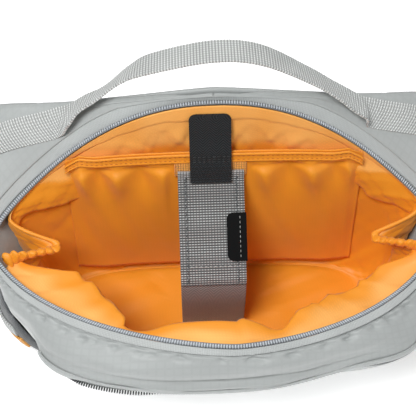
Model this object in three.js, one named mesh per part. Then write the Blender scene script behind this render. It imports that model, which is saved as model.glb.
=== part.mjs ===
// Hip pack with its main compartment zipped open, standing on its flat bottom.
// Millimetres, +Z up, +X to the right of someone facing the front, +Y towards the wearer's back.
// The origin is the middle of the flat bottom.
import * as THREE from "three";

// Cloth thicknesses and the gap that sewn pieces keep from each other
const SHELL_WALL = 1.6;
const LINING_WALL = 1.0;
const GAP = 0.5;
const WEBBING_WALL = 1.6;
const PADDED_WALL = 10;
const PADDED_EDGE = 4;

// Main zip
const TAPE_WIDTH = 7;
const TAPE_WALL = 0.8;
const COIL_WIDTH = 3.2;
const COIL_HEIGHT = 2;
const COIL_INSET = 2.7;
const ZIP_END_TURN = 84;
const TAPE_DROP = 0.055;
const SLIDER_OUT = 7.5;

// Rings of the body from the bottom to the rim, one row each. half is the half width and seam the depth at
// which the ring is widest. frontRound and rearRound are the powers of its superellipse. Heights differ round
// the ring, and skew moves its front sideways.
const RINGS = table("name half seam front back frontRound rearRound frontZ sideZ backZ skew", [
  ["foot", 112, 0, -42, 42, 4, 4, 0, 0, 0, 0],
  ["heel", 121, 1, -51, 47, 4, 4, 9, 9, 9, 0],
  ["belly", 135, 5, -73, 51, 3.6, 4, 48, 46, 52, 5],
  ["brow", 145, 11, -96.5, 57, 3, 3.2, 92, 76, 98, 9],
  ["lip", 152, 13, -96, 64, 2.2, 2.6, 114, 91, 142, 9],
  ["rim", 154, 13, -85, 70, 1.6, 2.2, 130, 100, 178, 9],
]);
const REAR_RISE = 3.3;
const FRONT_RISE = 2.5;
const TURN_WIDTH = 160;
const TURN_DEPTH = 90;
const TURN_STEP = 360 / 44;

// Lower front corners, which are tucked in across and back
const TUCKS = table("name turn spread across back", [
  ["right", 157, 13, 0, 9.5],
  ["left", 231, 9, 8.5, 1],
]);
const TUCK_LEVEL = 0.55;
const TUCK_TALL = 0.3;
const TUCK_TOP = 0.2;

// Middle of the padded back panel and wing, one row for each distance across
const BACK = table("across lowY lowZ midY midZ topY topZ", [
  [0, 58, 3, 66, 95, 76, 184],
  [50, 58, 3, 66, 93, 78.5, 174.5],
  [100, 59, 3, 68, 88, 89, 154],
  [150, 66, 3, 77, 72, 98, 140],
  [190, 78, 3, 88, 58, 110, 110],
  [225, 97, 3, 104, 40, 118, 78],
  [250, 120, 3, 122, 26, 126, 50],
]);
const WING_START = 118;
const WING_TIP = 250;

// Shoulder cloth from the rear zip to the top of the panel
const SHOULDER_START = 10;
const SHOULDER_END = 182;
const SHOULDER_SWELL = 0.07;
const SHOULDER_FIRST_TURN = 4;
const SHOULDER_TURNS = 84;
const SHOULDER_OUT = 0.9;
const SHOULDER_UP = 0.6;
const SHOULDER_BEFORE_PANEL = 2.4;

// Lining: how far its ends are drawn in from the shell and how far they sag
const LINING_TOP = 0.962;
const END_DRAW = 40;
const END_SAG = 7;
const END_SPREAD = 8.5;

// Front of the lining, whose top falls inwards over the compartment: how far in all, and how much more or
// less at some turns. It hangs down again below FALL_LOW.
const FALL_DEPTH = 31;
const FALL_SAG = 6.5;
const FALL_SAG_TOP = 0.045;
const FALL_HALF_TURN = 84;
const FALL_ENDS = 14;
const FALL_TOP = 0.1;
const FALL_LOW = 0.6;
const FALL_TALL = 0.24;
const FALLS = table("name turn spread depth", [
  ["right corner", 138, 22, 14],
  ["right of the middle", 167, 5.5, -9],
  ["left of the middle", 206, 8, -9],
  ["left corner", 243, 22, 17.5],
]);
const ELASTIC_RADIUS = 2.2;
const ELASTIC_HALF_TURN = 12;

// Pocket sleeve on the back wall
const SLEEVE_HALF = 101;
const SLEEVE_LOW = 15;
const SLEEVE_HIGH = 142;
const SLEEVE_GAP = 6.2;
const SLEEVE_END_GAP = 2.2;
const SLEEVE_END = 24;
const SLEEVE_BELOW_RIM = 2.5;
const SLEEVE_SWELL = 4;
const BINDING_HEIGHT = 8;

// Straps inside, a little left of the middle, as side paths of depth and height
const INNER_CENTRE = -2.5;
const TAB_WIDTH = 28;
const TAB_PATH = table("y z", [
  [64.2, 171], [58, 155], [50.8, 144], [49.3, 138], [46.3, 133], [43.6, 126], [41.5, 122.5],
]);
const CROSS_WIDTH = 48;
const CROSS_LOW = 122.5;
const CROSS_HIGH = 133;
const STRAP_WIDTH = 45;
const STRAP_PATH = table("y z", [
  [47.3, 131], [44.8, 121.5], [37, 113.5], [26, 106.5], [4, 92.5], [-8, 84], [-13, 77],
]);
const UNDER_PATH = table("y z", [
  [5.3, 90.7], [-6.7, 82.2], [-11.2, 75.5], [-12.8, 68], [-13, 55], [-11.5, 38], [-9.5, 21], [-8, 5],
]);
const LABEL_FROM = 0.4;
const LABEL_TO = 0.8;
const LABEL_LEFT = 10;
const LABEL_RIGHT = 23.5;
const LABEL_WALL = 0.8;
const CROSS_WALL = 1.2;

// Handle webbing: rows of its standing arch, with the way its width points, turned about the arch
const HANDLE_WIDTH = 20;
const HANDLE_ARCH = table("x y z sideX sideY sideZ", [
  [-97, 74, 159, 0, 0.97, -0.13],
  [-87, 78, 167, 0.2, 0.9, -0.34],
  [-74, 82, 173, 0.33, 0.86, -0.36],
  [-57, 86.5, 187, 0.28, 0.9, -0.32],
  [-40, 88, 196, 0.15, 0.97, -0.2],
  [0, 87, 208.5, 0, 0.98, -0.2],
  [31, 87, 203.5, -0.05, 0.98, -0.2],
  [64, 85, 182, -0.2, 0.95, -0.23],
  [82, 82, 168.5, -0.2, 0.95, -0.2],
  [93, 78.5, 161, -0.1, 0.97, -0.12],
  [102, 75, 156.5, -0.05, 0.98, -0.08],
]);
const SEWN_STATIONS = table("across left right", [
  [182, 28, 24],
  [158, 25, 21],
  [134, 19, 17],
  [109, 13, 12],
]);
const SEWN_LIFT = 1.1;

// Front pocket and its zip, in turns and levels of the body
const POCKET_HALF_TURN = 6 * TURN_STEP;
const POCKET_LOW = 0.2;
const POCKET_HIGH = 0.52;
const POCKET_SWELL = 1.5;
const POCKET_ZIP_HALF_TURN = 44;
const POCKET_ZIP_LEVEL = 0.6;
const POCKET_ZIP_WIDTH = 10;

// Side pockets
const SIDE_TURN_FROM = 74;
const SIDE_TURN_TO = 116;
const SIDE_LOW = 0.24;
const SIDE_HIGH = 0.56;
const SIDE_SWELL = 18;
const SIDE_LEAN = 0.6;
const SIDE_ZIP_ABOVE = 0.012;
const SIDE_ZIP_TALL = 0.035;
const SIDE_STRAP_LOW = 0.5;
const SIDE_STRAP_HIGH = 0.72;
const SIDE_TAB_LOW = 0.22;
const SIDE_TAB_HIGH = 0.42;

// Waist belt
const BELT_HEIGHT = 38;
const BELT_WALL = 2;
const BELT_BACK = 148;
const BUCKLE_WIDTH = 64;
const BUCKLE_HEIGHT = 46;
const BUCKLE_DEPTH = 10;
const BUCKLE_CORNER = 6;
const BELT_CLEARANCE = 0.4;

// Colours read by eye
const MATERIALS = {
  shell: { color: 0xb9bdbc, roughness: 0.62, metalness: 0 },
  lining: { color: 0xf08f22, roughness: 0.5, metalness: 0 },
  tape: { color: 0xc3c7c7, roughness: 0.75, metalness: 0 },
  coil: { color: 0x7c848c, roughness: 0.45, metalness: 0 },
  webbing: { color: 0xb7bbb9, roughness: 0.8, metalness: 0 },
  strap: { color: 0x8a8d8d, roughness: 0.85, metalness: 0 },
  black: { color: 0x23272b, roughness: 0.8, metalness: 0 },
  stretch: { color: 0x3c4043, roughness: 0.85, metalness: 0 },
  orange: { color: 0xe5761a, roughness: 0.8, metalness: 0 },
  belt: { color: 0x4a4e51, roughness: 0.8, metalness: 0 },
  buckle: { color: 0x1d1f21, roughness: 0.5, metalness: 0 },
};

const radians = (degrees) => (degrees * Math.PI) / 180;
const point = (x, y, z) => new THREE.Vector3(x, y, z);
const bump = (distance, spread) => Math.exp(-((distance / spread) ** 2));
const ease = (share) => THREE.MathUtils.smoothstep(share, 0, 1);

// A list of rows with named columns.
function table(columns, rows) {
  const names = columns.split(" ");
  return rows.map((row) => Object.fromEntries(names.map((name, i) => [name, row[i]])));
}

// A list of count + 1 values from one end to the other.
function steps(from, to, count) {
  return Array.from({ length: count + 1 }, (_, i) => from + ((to - from) * i) / count);
}

// A smooth value of one named column between rows, where at counts rows.
function smooth(rows, column, at) {
  const last = rows.length - 1;
  const row = Math.min(Math.max(Math.floor(at), 0), last - 1);
  const t = Math.min(Math.max(at, 0), last) - row;
  const value = (i) => rows[Math.min(Math.max(i, 0), last)][column];
  const [before, start, end, after] = [value(row - 1), value(row), value(row + 1), value(row + 2)];
  const slopeStart = (end - before) / 2;
  const slopeEnd = (after - start) / 2;
  const rise = end - start;
  return start + slopeStart * t + (3 * rise - 2 * slopeStart - slopeEnd) * t ** 2
    + (slopeStart + slopeEnd - 2 * rise) * t ** 3;
}

// The row position in a table whose first column rises to a value.
function rowAt(rows, column, value) {
  const next = rows.findIndex((row) => row[column] >= value);
  if (next < 0) return rows.length - 1;
  if (next === 0) return 0;
  const [low, high] = [rows[next - 1][column], rows[next][column]];
  return next - 1 + (value - low) / (high - low);
}

// One ring of the body at a level from 0 at the foot to 1 at the rim.
function ringAt(level) {
  const at = level * (RINGS.length - 1);
  const columns = Object.keys(RINGS[0]).filter((column) => column !== "name");
  return Object.fromEntries(columns.map((column) => [column, smooth(RINGS, column, at)]));
}

// How far a level takes part in the tucks of the lower front corners.
function tuckShare(level) {
  return bump(level - TUCK_LEVEL, TUCK_TALL) * ease((1 - level) / TUCK_TOP) * ease(level / TUCK_TOP);
}

// The outside of the body. Turn 0 is the middle of the back, 90 the right end and 180 the middle of the
// front. Levels under 0 are the flat bottom, from -1 in its middle.
function bodyPoint(turn, level) {
  const ring = ringAt(Math.max(level, 0));
  const wayX = TURN_WIDTH * Math.sin(radians(turn));
  const wayY = TURN_DEPTH * Math.cos(radians(turn));
  const rear = wayY > 0;
  const depth = rear ? ring.back - ring.seam : ring.seam - ring.front;
  const power = rear ? ring.rearRound : ring.frontRound;
  const reach = (Math.abs(wayX / ring.half) ** power + Math.abs(wayY / depth) ** power) ** (-1 / power);
  const share = Math.abs(reach * wayY) / depth;
  const topZ = rear ? ring.backZ : ring.frontZ;
  const z = ring.sideZ + (topZ - ring.sideZ) * share ** (rear ? REAR_RISE : FRONT_RISE);
  const lean = rear ? 0 : ring.skew * share ** 2;
  const floor = Math.min(level, 0) + 1;
  const tucked = tuckShare(Math.max(level, 0));
  const tuck = (way) =>
    TUCKS.reduce((sum, row) => sum + row[way] * bump(turn - row.turn, row.spread), 0) * tucked;
  const x = (reach * wayX + lean) * floor + tuck("across");
  const y = (ring.seam + reach * wayY) * floor + tuck("back");
  return point(x, y, z);
}

// The way out of a surface at a place, from two short steps on it.
function outward(surface, u, v, stepU, stepV) {
  const alongU = surface(u + stepU, v).sub(surface(u - stepU, v));
  const alongV = surface(u, v + stepV).sub(surface(u, v - stepV));
  const way = alongV.cross(alongU);
  return way.lengthSq() < 1e-9 ? point(0, 0, -1) : way.normalize();
}

function bodyOut(turn, level) {
  if (level <= -0.02) return point(0, 0, -1);
  return outward(bodyPoint, turn, Math.min(level, 0.995), 0.4, 0.004);
}

// A place on the body, moved out by a distance, or in where the distance is negative.
function bodyOffset(turn, level, distance) {
  return bodyPoint(turn, level).addScaledVector(bodyOut(turn, level), distance);
}

// The back of the body at a distance across and a height.
function rearDepth(across, height) {
  const find = (level) => {
    const ring = ringAt(level);
    const used = Math.min(Math.abs(across) / ring.half, 0.985);
    const share = (1 - used ** ring.rearRound) ** (1 / ring.rearRound);
    return {
      y: ring.seam + (ring.back - ring.seam) * share,
      z: ring.sideZ + (ring.backZ - ring.sideZ) * share ** REAR_RISE,
    };
  };
  let [low, high] = [0, 1];
  for (let turn = 0; turn < 24; turn += 1) {
    const middle = (low + high) / 2;
    if (find(middle).z < height) low = middle;
    else high = middle;
  }
  return find(low).y;
}

// The height of the rear rim at a distance across.
function rearRimHeight(across) {
  const rim = RINGS[RINGS.length - 1];
  const share = (1 - (Math.abs(across) / rim.half) ** rim.rearRound) ** (1 / rim.rearRound);
  return rim.sideZ + (rim.backZ - rim.sideZ) * share ** REAR_RISE;
}

// A closed solid between two surfaces over the same grid. A grid that wraps joins its last column to its
// first, and one with a tip has a first row that is a single point.
function solidBetween(outer, inner, us, vs, { wraps = false, tip = false } = {}) {
  const positions = [];
  const columns = us.length;
  const index = new Map();
  const place = (side, i, j) => {
    const column = wraps ? i % columns : i;
    const key = tip && j === 0 ? `${side} tip` : `${side} ${column} ${j}`;
    if (!index.has(key)) {
      index.set(key, positions.length / 3);
      const spot = (side ? outer : inner)(us[column], vs[j]);
      positions.push(spot.x, spot.y, spot.z);
    }
    return index.get(key);
  };
  const faces = [];
  const quad = (a, b, c, d) => {
    if (a !== b && b !== c && a !== c) faces.push(a, b, c);
    if (a !== c && c !== d && a !== d) faces.push(a, c, d);
  };
  const spans = wraps ? columns : columns - 1;
  const top = vs.length - 1;
  for (let i = 0; i < spans; i += 1) {
    for (let j = 0; j < top; j += 1) {
      quad(place(1, i, j), place(1, i + 1, j), place(1, i + 1, j + 1), place(1, i, j + 1));
      quad(place(0, i, j), place(0, i, j + 1), place(0, i + 1, j + 1), place(0, i + 1, j));
    }
    quad(place(1, i, top), place(1, i + 1, top), place(0, i + 1, top), place(0, i, top));
    if (!tip) quad(place(0, i, 0), place(0, i + 1, 0), place(1, i + 1, 0), place(1, i, 0));
  }
  if (!wraps) {
    const end = columns - 1;
    for (let j = 0; j < top; j += 1) {
      quad(place(0, 0, j), place(1, 0, j), place(1, 0, j + 1), place(0, 0, j + 1));
      quad(place(1, end, j), place(0, end, j), place(0, end, j + 1), place(1, end, j + 1));
    }
  }
  const geometry = new THREE.BufferGeometry();
  geometry.setAttribute("position", new THREE.Float32BufferAttribute(positions, 3));
  geometry.setIndex(faces);
  return facingOut(geometry);
}

// Turns every face round if the solid is inside out.
function facingOut(geometry) {
  const spots = geometry.getAttribute("position");
  const faces = geometry.index.array;
  const corner = (i) => new THREE.Vector3().fromBufferAttribute(spots, faces[i]);
  let volume = 0;
  for (let i = 0; i < faces.length; i += 3) volume += corner(i).dot(corner(i + 1).cross(corner(i + 2)));
  if (volume < 0) {
    for (let i = 0; i < faces.length; i += 3) [faces[i + 1], faces[i + 2]] = [faces[i + 2], faces[i + 1]];
  }
  geometry.computeVertexNormals();
  return geometry;
}

// A flat strap along stations that each give a middle, the way of its width and the way out of its face.
function strap(stationAt, along, width, wall, across = [-0.5, 0.5]) {
  const face = (lift) => (u, v) => {
    const { middle, side, out } = stationAt(u);
    return middle.clone().addScaledVector(side, v * width).addScaledVector(out, lift);
  };
  return solidBetween(face(wall / 2), face(-wall / 2), along, across);
}

// A strap that lies along a side path of depths and heights.
function sidePath(rows) {
  const curve = new THREE.CatmullRomCurve3(rows.map((row) => point(INNER_CENTRE, row.y, row.z)));
  return (u) => {
    const way = curve.getTangentAt(u);
    return { middle: curve.getPointAt(u), side: point(1, 0, 0), out: point(0, -way.z, way.y).negate() };
  };
}

const group = new THREE.Group();
group.name = "hip_pack";

function add(name, material, geometry) {
  const mesh = new THREE.Mesh(geometry, new THREE.MeshStandardMaterial(MATERIALS[material]));
  mesh.name = name;
  group.add(mesh);
}

// Body shell
const AROUND = steps(0, 360, 360 / TURN_STEP).slice(0, -1);
const WALL_LEVELS = [-1, 0, 0.07, 0.16, 0.28, 0.42, 0.56, 0.68, 0.8, 0.9, 1];
add("body_shell", "shell", solidBetween(
  (turn, level) => bodyPoint(turn, level),
  (turn, level) => bodyOffset(turn, level, -SHELL_WALL),
  AROUND, WALL_LEVELS, { wraps: true, tip: true },
));

// Lining, drawn in at the two ends of the mouth and fallen inwards along its front
const endDistance = (turn) => Math.min(Math.abs(turn - 90), Math.abs(turn - 270));
const frontShare = (turn) => ease((FALL_HALF_TURN - Math.abs(turn - 180)) / FALL_ENDS);
const fallShare = (level, top) => ease((1 - level) / top) * ease((level - FALL_LOW) / FALL_TALL);
function frontFall(turn) {
  const more = FALLS.reduce((sum, row) => sum + row.depth * bump(turn - row.turn, row.spread), 0);
  return (FALL_DEPTH + more) * frontShare(turn);
}
function liningPoint(turn, level) {
  const used = level * LINING_TOP;
  const spot = bodyOffset(turn, level < 0 ? level : used, -(SHELL_WALL + GAP));
  if (level <= 0) return spot;
  const drawn = bump(endDistance(turn), END_SPREAD);
  const inward = END_DRAW * drawn * level ** 1.5 + frontFall(turn) * fallShare(level, FALL_TOP);
  const way = point(-spot.x, 10 - spot.y, 0).normalize();
  spot.addScaledVector(way, inward);
  const sag = FALL_SAG * frontShare(turn) * fallShare(level, FALL_SAG_TOP);
  spot.z -= END_SAG * drawn * level ** 3 + sag;
  return spot;
}
const LINING_LEVELS = [-1, 0, 0.1, 0.3, 0.5, 0.62, 0.73, 0.84, 0.91, 0.96, 1];
function liningInner(turn, level) {
  const bottom = level <= -0.02;
  const way = bottom ? point(0, 0, -1) : outward(liningPoint, turn, Math.min(level, 0.99), 0.6, 0.006);
  return liningPoint(turn, level).addScaledVector(way, -LINING_WALL);
}
add("lining", "lining", solidBetween(
  liningPoint, liningInner, AROUND, LINING_LEVELS, { wraps: true, tip: true },
));

// Gathered elastic along the lining's edge at each end
for (const [name, end] of [["gusset_elastic_right", 90], ["gusset_elastic_left", 270]]) {
  const edgeAt = (turn, level) => liningPoint(turn, level).add(liningInner(turn, level)).multiplyScalar(0.5);
  const turns = steps(end - ELASTIC_HALF_TURN, end + ELASTIC_HALF_TURN, 8);
  const path = new THREE.CatmullRomCurve3(turns.map((turn) => {
    const edge = edgeAt(turn, 1);
    const way = edgeAt(turn + 1, 1).sub(edgeAt(turn - 1, 1)).normalize();
    const up = edge.clone().sub(edgeAt(turn, 0.96));
    up.addScaledVector(way, -up.dot(way)).normalize();
    return edge.addScaledVector(up, ELASTIC_RADIUS + 2 * GAP);
  }));
  const section = new THREE.Shape().absarc(0, 0, ELASTIC_RADIUS, 0, 2 * Math.PI);
  const options = { steps: 12, curveSegments: 3, bevelEnabled: false, extrudePath: path };
  add(name, "orange", new THREE.ExtrudeGeometry(section, options));
}

// Padded back panel and wings
const backRow = (across) => rowAt(BACK, "across", Math.abs(across));
function backMiddle(across, share) {
  const at = backRow(across);
  const edgeAt = (edge) => point(across, smooth(BACK, `${edge}Y`, at), smooth(BACK, `${edge}Z`, at));
  const [low, mid, top] = ["low", "mid", "top"].map(edgeAt);
  const bend = share * (1 - share) * 4;
  const straight = low.clone().lerp(top, share);
  const off = mid.clone().sub(low.clone().lerp(top, 0.5));
  return straight.addScaledVector(off, bend);
}
function backFace(side) {
  return (across, share) => {
    const out = outward(backMiddle, across, Math.min(Math.max(share, 0.02), 0.98), 0.5, 0.01);
    const swell = Math.sin(Math.PI * share) ** 0.6;
    const half = (PADDED_EDGE + (PADDED_WALL - PADDED_EDGE) * swell) / 2;
    const spot = backMiddle(across, share).addScaledVector(out, side * half);
    spot.z = Math.max(spot.z, 0.4);
    return spot;
  };
}
const BACK_SHARES = steps(0, 1, 7);
const PANEL_STATIONS = steps(-WING_START, WING_START, 14);
add("back_panel", "shell", solidBetween(backFace(1), backFace(-1), PANEL_STATIONS, BACK_SHARES));
for (const [name, hand] of [["wing_left", -1], ["wing_right", 1]]) {
  const stations = steps(WING_START + GAP, WING_TIP, 8).map((across) => hand * across);
  add(name, "shell", solidBetween(backFace(1), backFace(-1), stations, BACK_SHARES));
}

// Shoulder cloth from the rear zip up to the top of the panel and wing
const shoulderTurn = (share) => SHOULDER_FIRST_TURN + SHOULDER_TURNS * share;
function shoulderPoint(hand) {
  return (share, rise) => {
    const turn = hand > 0 ? shoulderTurn(share) : 360 - shoulderTurn(share);
    const low = bodyOffset(turn, 1, SHOULDER_OUT);
    low.z += SHOULDER_UP;
    const across = hand * (SHOULDER_START + (SHOULDER_END - SHOULDER_START) * share);
    const [one, other] = [backFace(-1)(across, 1), backFace(1)(across, 1)];
    const edge = one.y < other.y ? one : other;
    edge.y -= SHOULDER_BEFORE_PANEL;
    const swell = SHOULDER_SWELL * low.distanceTo(edge) * Math.sin(Math.PI * rise);
    const spot = low.lerp(edge, rise);
    spot.z += swell;
    return spot;
  };
}
function shoulderOut(hand) {
  const surface = shoulderPoint(hand);
  return (share, rise) => {
    const inShare = Math.min(Math.max(share, 0.01), 0.99);
    const inRise = Math.min(Math.max(rise, 0.02), 0.98);
    const way = outward(surface, inShare, inRise, 0.01, 0.02);
    return way.z < way.y ? way.negate() : way;
  };
}
function shoulderOffset(hand, distance) {
  const [surface, out] = [shoulderPoint(hand), shoulderOut(hand)];
  return (share, rise) => surface(share, rise).addScaledVector(out(share, rise), distance);
}
const SHOULDER_SHARES = steps(0, 1, 14);
for (const [name, hand] of [["shoulder_left", -1], ["shoulder_right", 1]]) {
  const inner = shoulderOffset(hand, -SHELL_WALL);
  add(name, "shell", solidBetween(shoulderPoint(hand), inner, SHOULDER_SHARES, steps(0, 1, 4)));
}

// Main zip: the rear tape lies on the shoulders, the front tape on the shell, and a coil runs along each rim
function rearTape(distance) {
  return (turn, across) => {
    const hand = turn >= 0 ? 1 : -1;
    const share = Math.min(Math.max((Math.abs(turn) - SHOULDER_FIRST_TURN) / SHOULDER_TURNS, 0), 1);
    const low = shoulderPoint(hand)(share, 0);
    const high = shoulderPoint(hand)(share, 1);
    const rise = Math.min((across * TAPE_WIDTH) / low.distanceTo(high), 0.9);
    const spot = shoulderOffset(hand, distance)(share, rise);
    return spot;
  };
}
const HALF_TURNS = SHOULDER_SHARES.slice(0, -1).map(shoulderTurn);
const REAR_TURNS = [...HALF_TURNS.map((turn) => -turn).reverse(), ...HALF_TURNS];
const [tapeOuter, tapeInner] = [rearTape(GAP + TAPE_WALL), rearTape(GAP)];
add("zip_tape_rear", "tape", solidBetween(tapeOuter, tapeInner, REAR_TURNS, [0.12, 1.05]));
const FRONT_TURNS = steps(180 - ZIP_END_TURN, 180 + ZIP_END_TURN, 28);
add("zip_tape_front", "tape", solidBetween(
  (turn, level) => bodyOffset(turn, level, GAP + TAPE_WALL),
  (turn, level) => bodyOffset(turn, level, GAP),
  FRONT_TURNS, [1 - TAPE_DROP, 1],
));
function coilStation(turn) {
  const out = bodyOut(turn, 1);
  const up = bodyPoint(turn, 1).sub(bodyPoint(turn, 0.99)).normalize();
  const middle = bodyOffset(turn, 1, -COIL_INSET).addScaledVector(up, 2 * GAP + COIL_HEIGHT / 2);
  return { middle, side: out, out: up };
}
add("zip_coil_rear", "coil", strap(coilStation, REAR_TURNS, COIL_WIDTH, COIL_HEIGHT));
add("zip_coil_front", "coil", strap(coilStation, FRONT_TURNS, COIL_WIDTH, COIL_HEIGHT));

// Zip sliders at the two ends of the mouth, each one solid with its pull
function plate(width, height, depth, corner) {
  const [w, h] = [width / 2, height / 2];
  const shape = new THREE.Shape();
  shape.absarc(w - corner, h - corner, corner, 0, Math.PI / 2);
  shape.absarc(-w + corner, h - corner, corner, Math.PI / 2, Math.PI);
  shape.absarc(-w + corner, -h + corner, corner, Math.PI, 1.5 * Math.PI);
  shape.absarc(w - corner, -h + corner, corner, 1.5 * Math.PI, 2 * Math.PI);
  const geometry = new THREE.ExtrudeGeometry(shape, { depth, curveSegments: 2, bevelEnabled: false });
  return geometry.translate(0, 0, -depth / 2);
}
for (const [name, turn] of [["zip_slider_right", 90], ["zip_slider_left", 270]]) {
  const spot = bodyPoint(turn, 1);
  const geometry = plate(9, 11, 5, 2);
  const hand = turn === 90 ? 1 : -1;
  geometry.translate(spot.x + hand * SLIDER_OUT, spot.y, spot.z - 1);
  add(name, "coil", geometry);
}

// Pocket sleeve on the back wall
const sleeveTop = (across) => Math.min(SLEEVE_HIGH, rearRimHeight(across) - SLEEVE_BELOW_RIM);
function sleevePoint(distance) {
  return (across, share) => {
    const height = SLEEVE_LOW + (sleeveTop(across) - SLEEVE_LOW) * share;
    const swell = SLEEVE_SWELL * Math.cos((Math.PI * across) / (2 * SLEEVE_HALF)) * Math.sin(Math.PI * share);
    const open = ease((SLEEVE_HALF - Math.abs(across)) / SLEEVE_END);
    const gap = SLEEVE_END_GAP + (SLEEVE_GAP - SLEEVE_END_GAP) * open;
    const depth = rearDepth(across, height) - SHELL_WALL - GAP - LINING_WALL - gap;
    return point(across, depth - swell - distance, height);
  };
}
const SLEEVE_STATIONS = steps(-SLEEVE_HALF, SLEEVE_HALF, 16);
const sleeveFront = sleevePoint(LINING_WALL);
add("inner_sleeve", "lining", solidBetween(sleeveFront, sleevePoint(0), SLEEVE_STATIONS, steps(0, 1, 6)));
function bindingPoint(distance) {
  const surface = sleevePoint(LINING_WALL + GAP + distance);
  return (across, share) => {
    const foot = 1 - BINDING_HEIGHT / (sleeveTop(across) - SLEEVE_LOW);
    return surface(across, foot).lerp(surface(across, 1), share);
  };
}
add("sleeve_binding", "lining", solidBetween(bindingPoint(1), bindingPoint(0), SLEEVE_STATIONS, [0, 1]));

// Straps inside
const ALONG = steps(0, 1, 10);
add("closure_tab", "black", strap(sidePath(TAB_PATH), ALONG, TAB_WIDTH, WEBBING_WALL));
const crossFace = (distance) => (across, height) => {
  const share = (height - SLEEVE_LOW) / (SLEEVE_HIGH - SLEEVE_LOW);
  return point(across, sleeveFront(across, share).y - GAP - distance, height);
};
const CROSS_STATIONS = steps(INNER_CENTRE - CROSS_WIDTH / 2, INNER_CENTRE + CROSS_WIDTH / 2, 4);
const CROSS_HEIGHTS = steps(CROSS_LOW, CROSS_HIGH, 2);
add("cross_tab", "orange", solidBetween(crossFace(CROSS_WALL), crossFace(0), CROSS_STATIONS, CROSS_HEIGHTS));
add("holding_strap", "strap", strap(sidePath(STRAP_PATH), ALONG, STRAP_WIDTH, WEBBING_WALL));
add("strap_underlayer", "strap", strap(sidePath(UNDER_PATH), ALONG, STRAP_WIDTH, WEBBING_WALL));
const labelStation = (u) => {
  const station = sidePath(STRAP_PATH)(u);
  station.middle.addScaledVector(station.out, WEBBING_WALL / 2 + GAP + LABEL_WALL / 2);
  return station;
};
const LABEL_ALONG = steps(LABEL_FROM, LABEL_TO, 4);
add("strap_label", "black", strap(labelStation, LABEL_ALONG, 1, LABEL_WALL, [LABEL_LEFT, LABEL_RIGHT]));

// Handle webbing, sewn along each shoulder and standing up between them
function sewnStation(hand, row) {
  const share = (row.across - SHOULDER_START) / (SHOULDER_END - SHOULDER_START);
  const surface = shoulderPoint(hand);
  const length = surface(share, 0).distanceTo(surface(share, 1));
  const rise = 1 - (hand < 0 ? row.left : row.right) / length;
  const out = shoulderOut(hand)(share, rise);
  const side = surface(share, Math.min(rise + 0.1, 1)).sub(surface(share, rise - 0.1)).normalize();
  return { middle: surface(share, rise).addScaledVector(out, SEWN_LIFT + WEBBING_WALL / 2), side };
}
const archStations = HANDLE_ARCH.map((row) => ({
  middle: point(row.x, row.y, row.z),
  side: point(row.sideX, row.sideY, row.sideZ).normalize(),
}));
const handleStations = [
  ...SEWN_STATIONS.map((row) => sewnStation(-1, row)),
  ...archStations,
  ...SEWN_STATIONS.map((row) => sewnStation(1, row)).reverse(),
];
const handleCurve = new THREE.CatmullRomCurve3(handleStations.map((station) => station.middle));
const handleSides = new THREE.CatmullRomCurve3(handleStations.map((station) => station.side));
function handleStation(u) {
  const side = handleSides.getPoint(u).normalize();
  const way = handleCurve.getTangent(u);
  return { middle: handleCurve.getPoint(u), side, out: way.cross(side).normalize() };
}
add("carry_handle", "webbing", strap(handleStation, steps(0, 1, 54), HANDLE_WIDTH, WEBBING_WALL));

// Front pocket, a swelling panel on the front of the shell, and the zip above it
function pocketFace(distance) {
  return (turn, share) => {
    const level = POCKET_LOW + (POCKET_HIGH - POCKET_LOW) * share;
    const across = Math.max(Math.cos((Math.PI * (turn - 180)) / (2 * POCKET_HALF_TURN)), 0);
    const swell = POCKET_SWELL * across ** 0.5 * Math.sin(Math.PI * share) ** 0.7;
    return bodyOffset(turn, level, GAP + distance + swell);
  };
}
const POCKET_STATIONS = steps(180 - POCKET_HALF_TURN, 180 + POCKET_HALF_TURN, 12);
const [pocketOuter, pocketInner] = [pocketFace(SHELL_WALL), pocketFace(0)];
add("front_pocket", "shell", solidBetween(pocketOuter, pocketInner, POCKET_STATIONS, steps(0, 1, 6)));
function pocketZip(width, low, high) {
  return (lift) => (turn, across) => {
    const here = bodyPoint(turn, POCKET_ZIP_LEVEL);
    const up = bodyPoint(turn, POCKET_ZIP_LEVEL + 0.01).sub(here);
    const level = POCKET_ZIP_LEVEL + (across * width * 0.01) / up.length();
    return bodyOffset(turn, level, lift ? high : low);
  };
}
const POCKET_TURNS = steps(180 - POCKET_ZIP_HALF_TURN, 180 + POCKET_ZIP_HALF_TURN, 22);
const tapeFace = pocketZip(POCKET_ZIP_WIDTH, GAP, GAP + TAPE_WALL);
add("pocket_zip_tape", "tape", solidBetween(tapeFace(1), tapeFace(0), POCKET_TURNS, [-0.45, 0.5]));
const coilFace = pocketZip(COIL_WIDTH + 0.8, 2 * GAP + TAPE_WALL, 2 * GAP + TAPE_WALL + 1.4);
add("pocket_zip_coil", "black", solidBetween(coilFace(1), coilFace(0), POCKET_TURNS, [-0.5, 0.5]));
const pocketEnd = bodyOffset(180 - POCKET_ZIP_HALF_TURN - 3, POCKET_ZIP_LEVEL, 4.6);
const pocketPull = plate(7, 10, 4, 2).rotateX(radians(70)).rotateZ(radians(40));
add("pocket_slider", "black", pocketPull.translate(pocketEnd.x, pocketEnd.y, pocketEnd.z));

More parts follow.
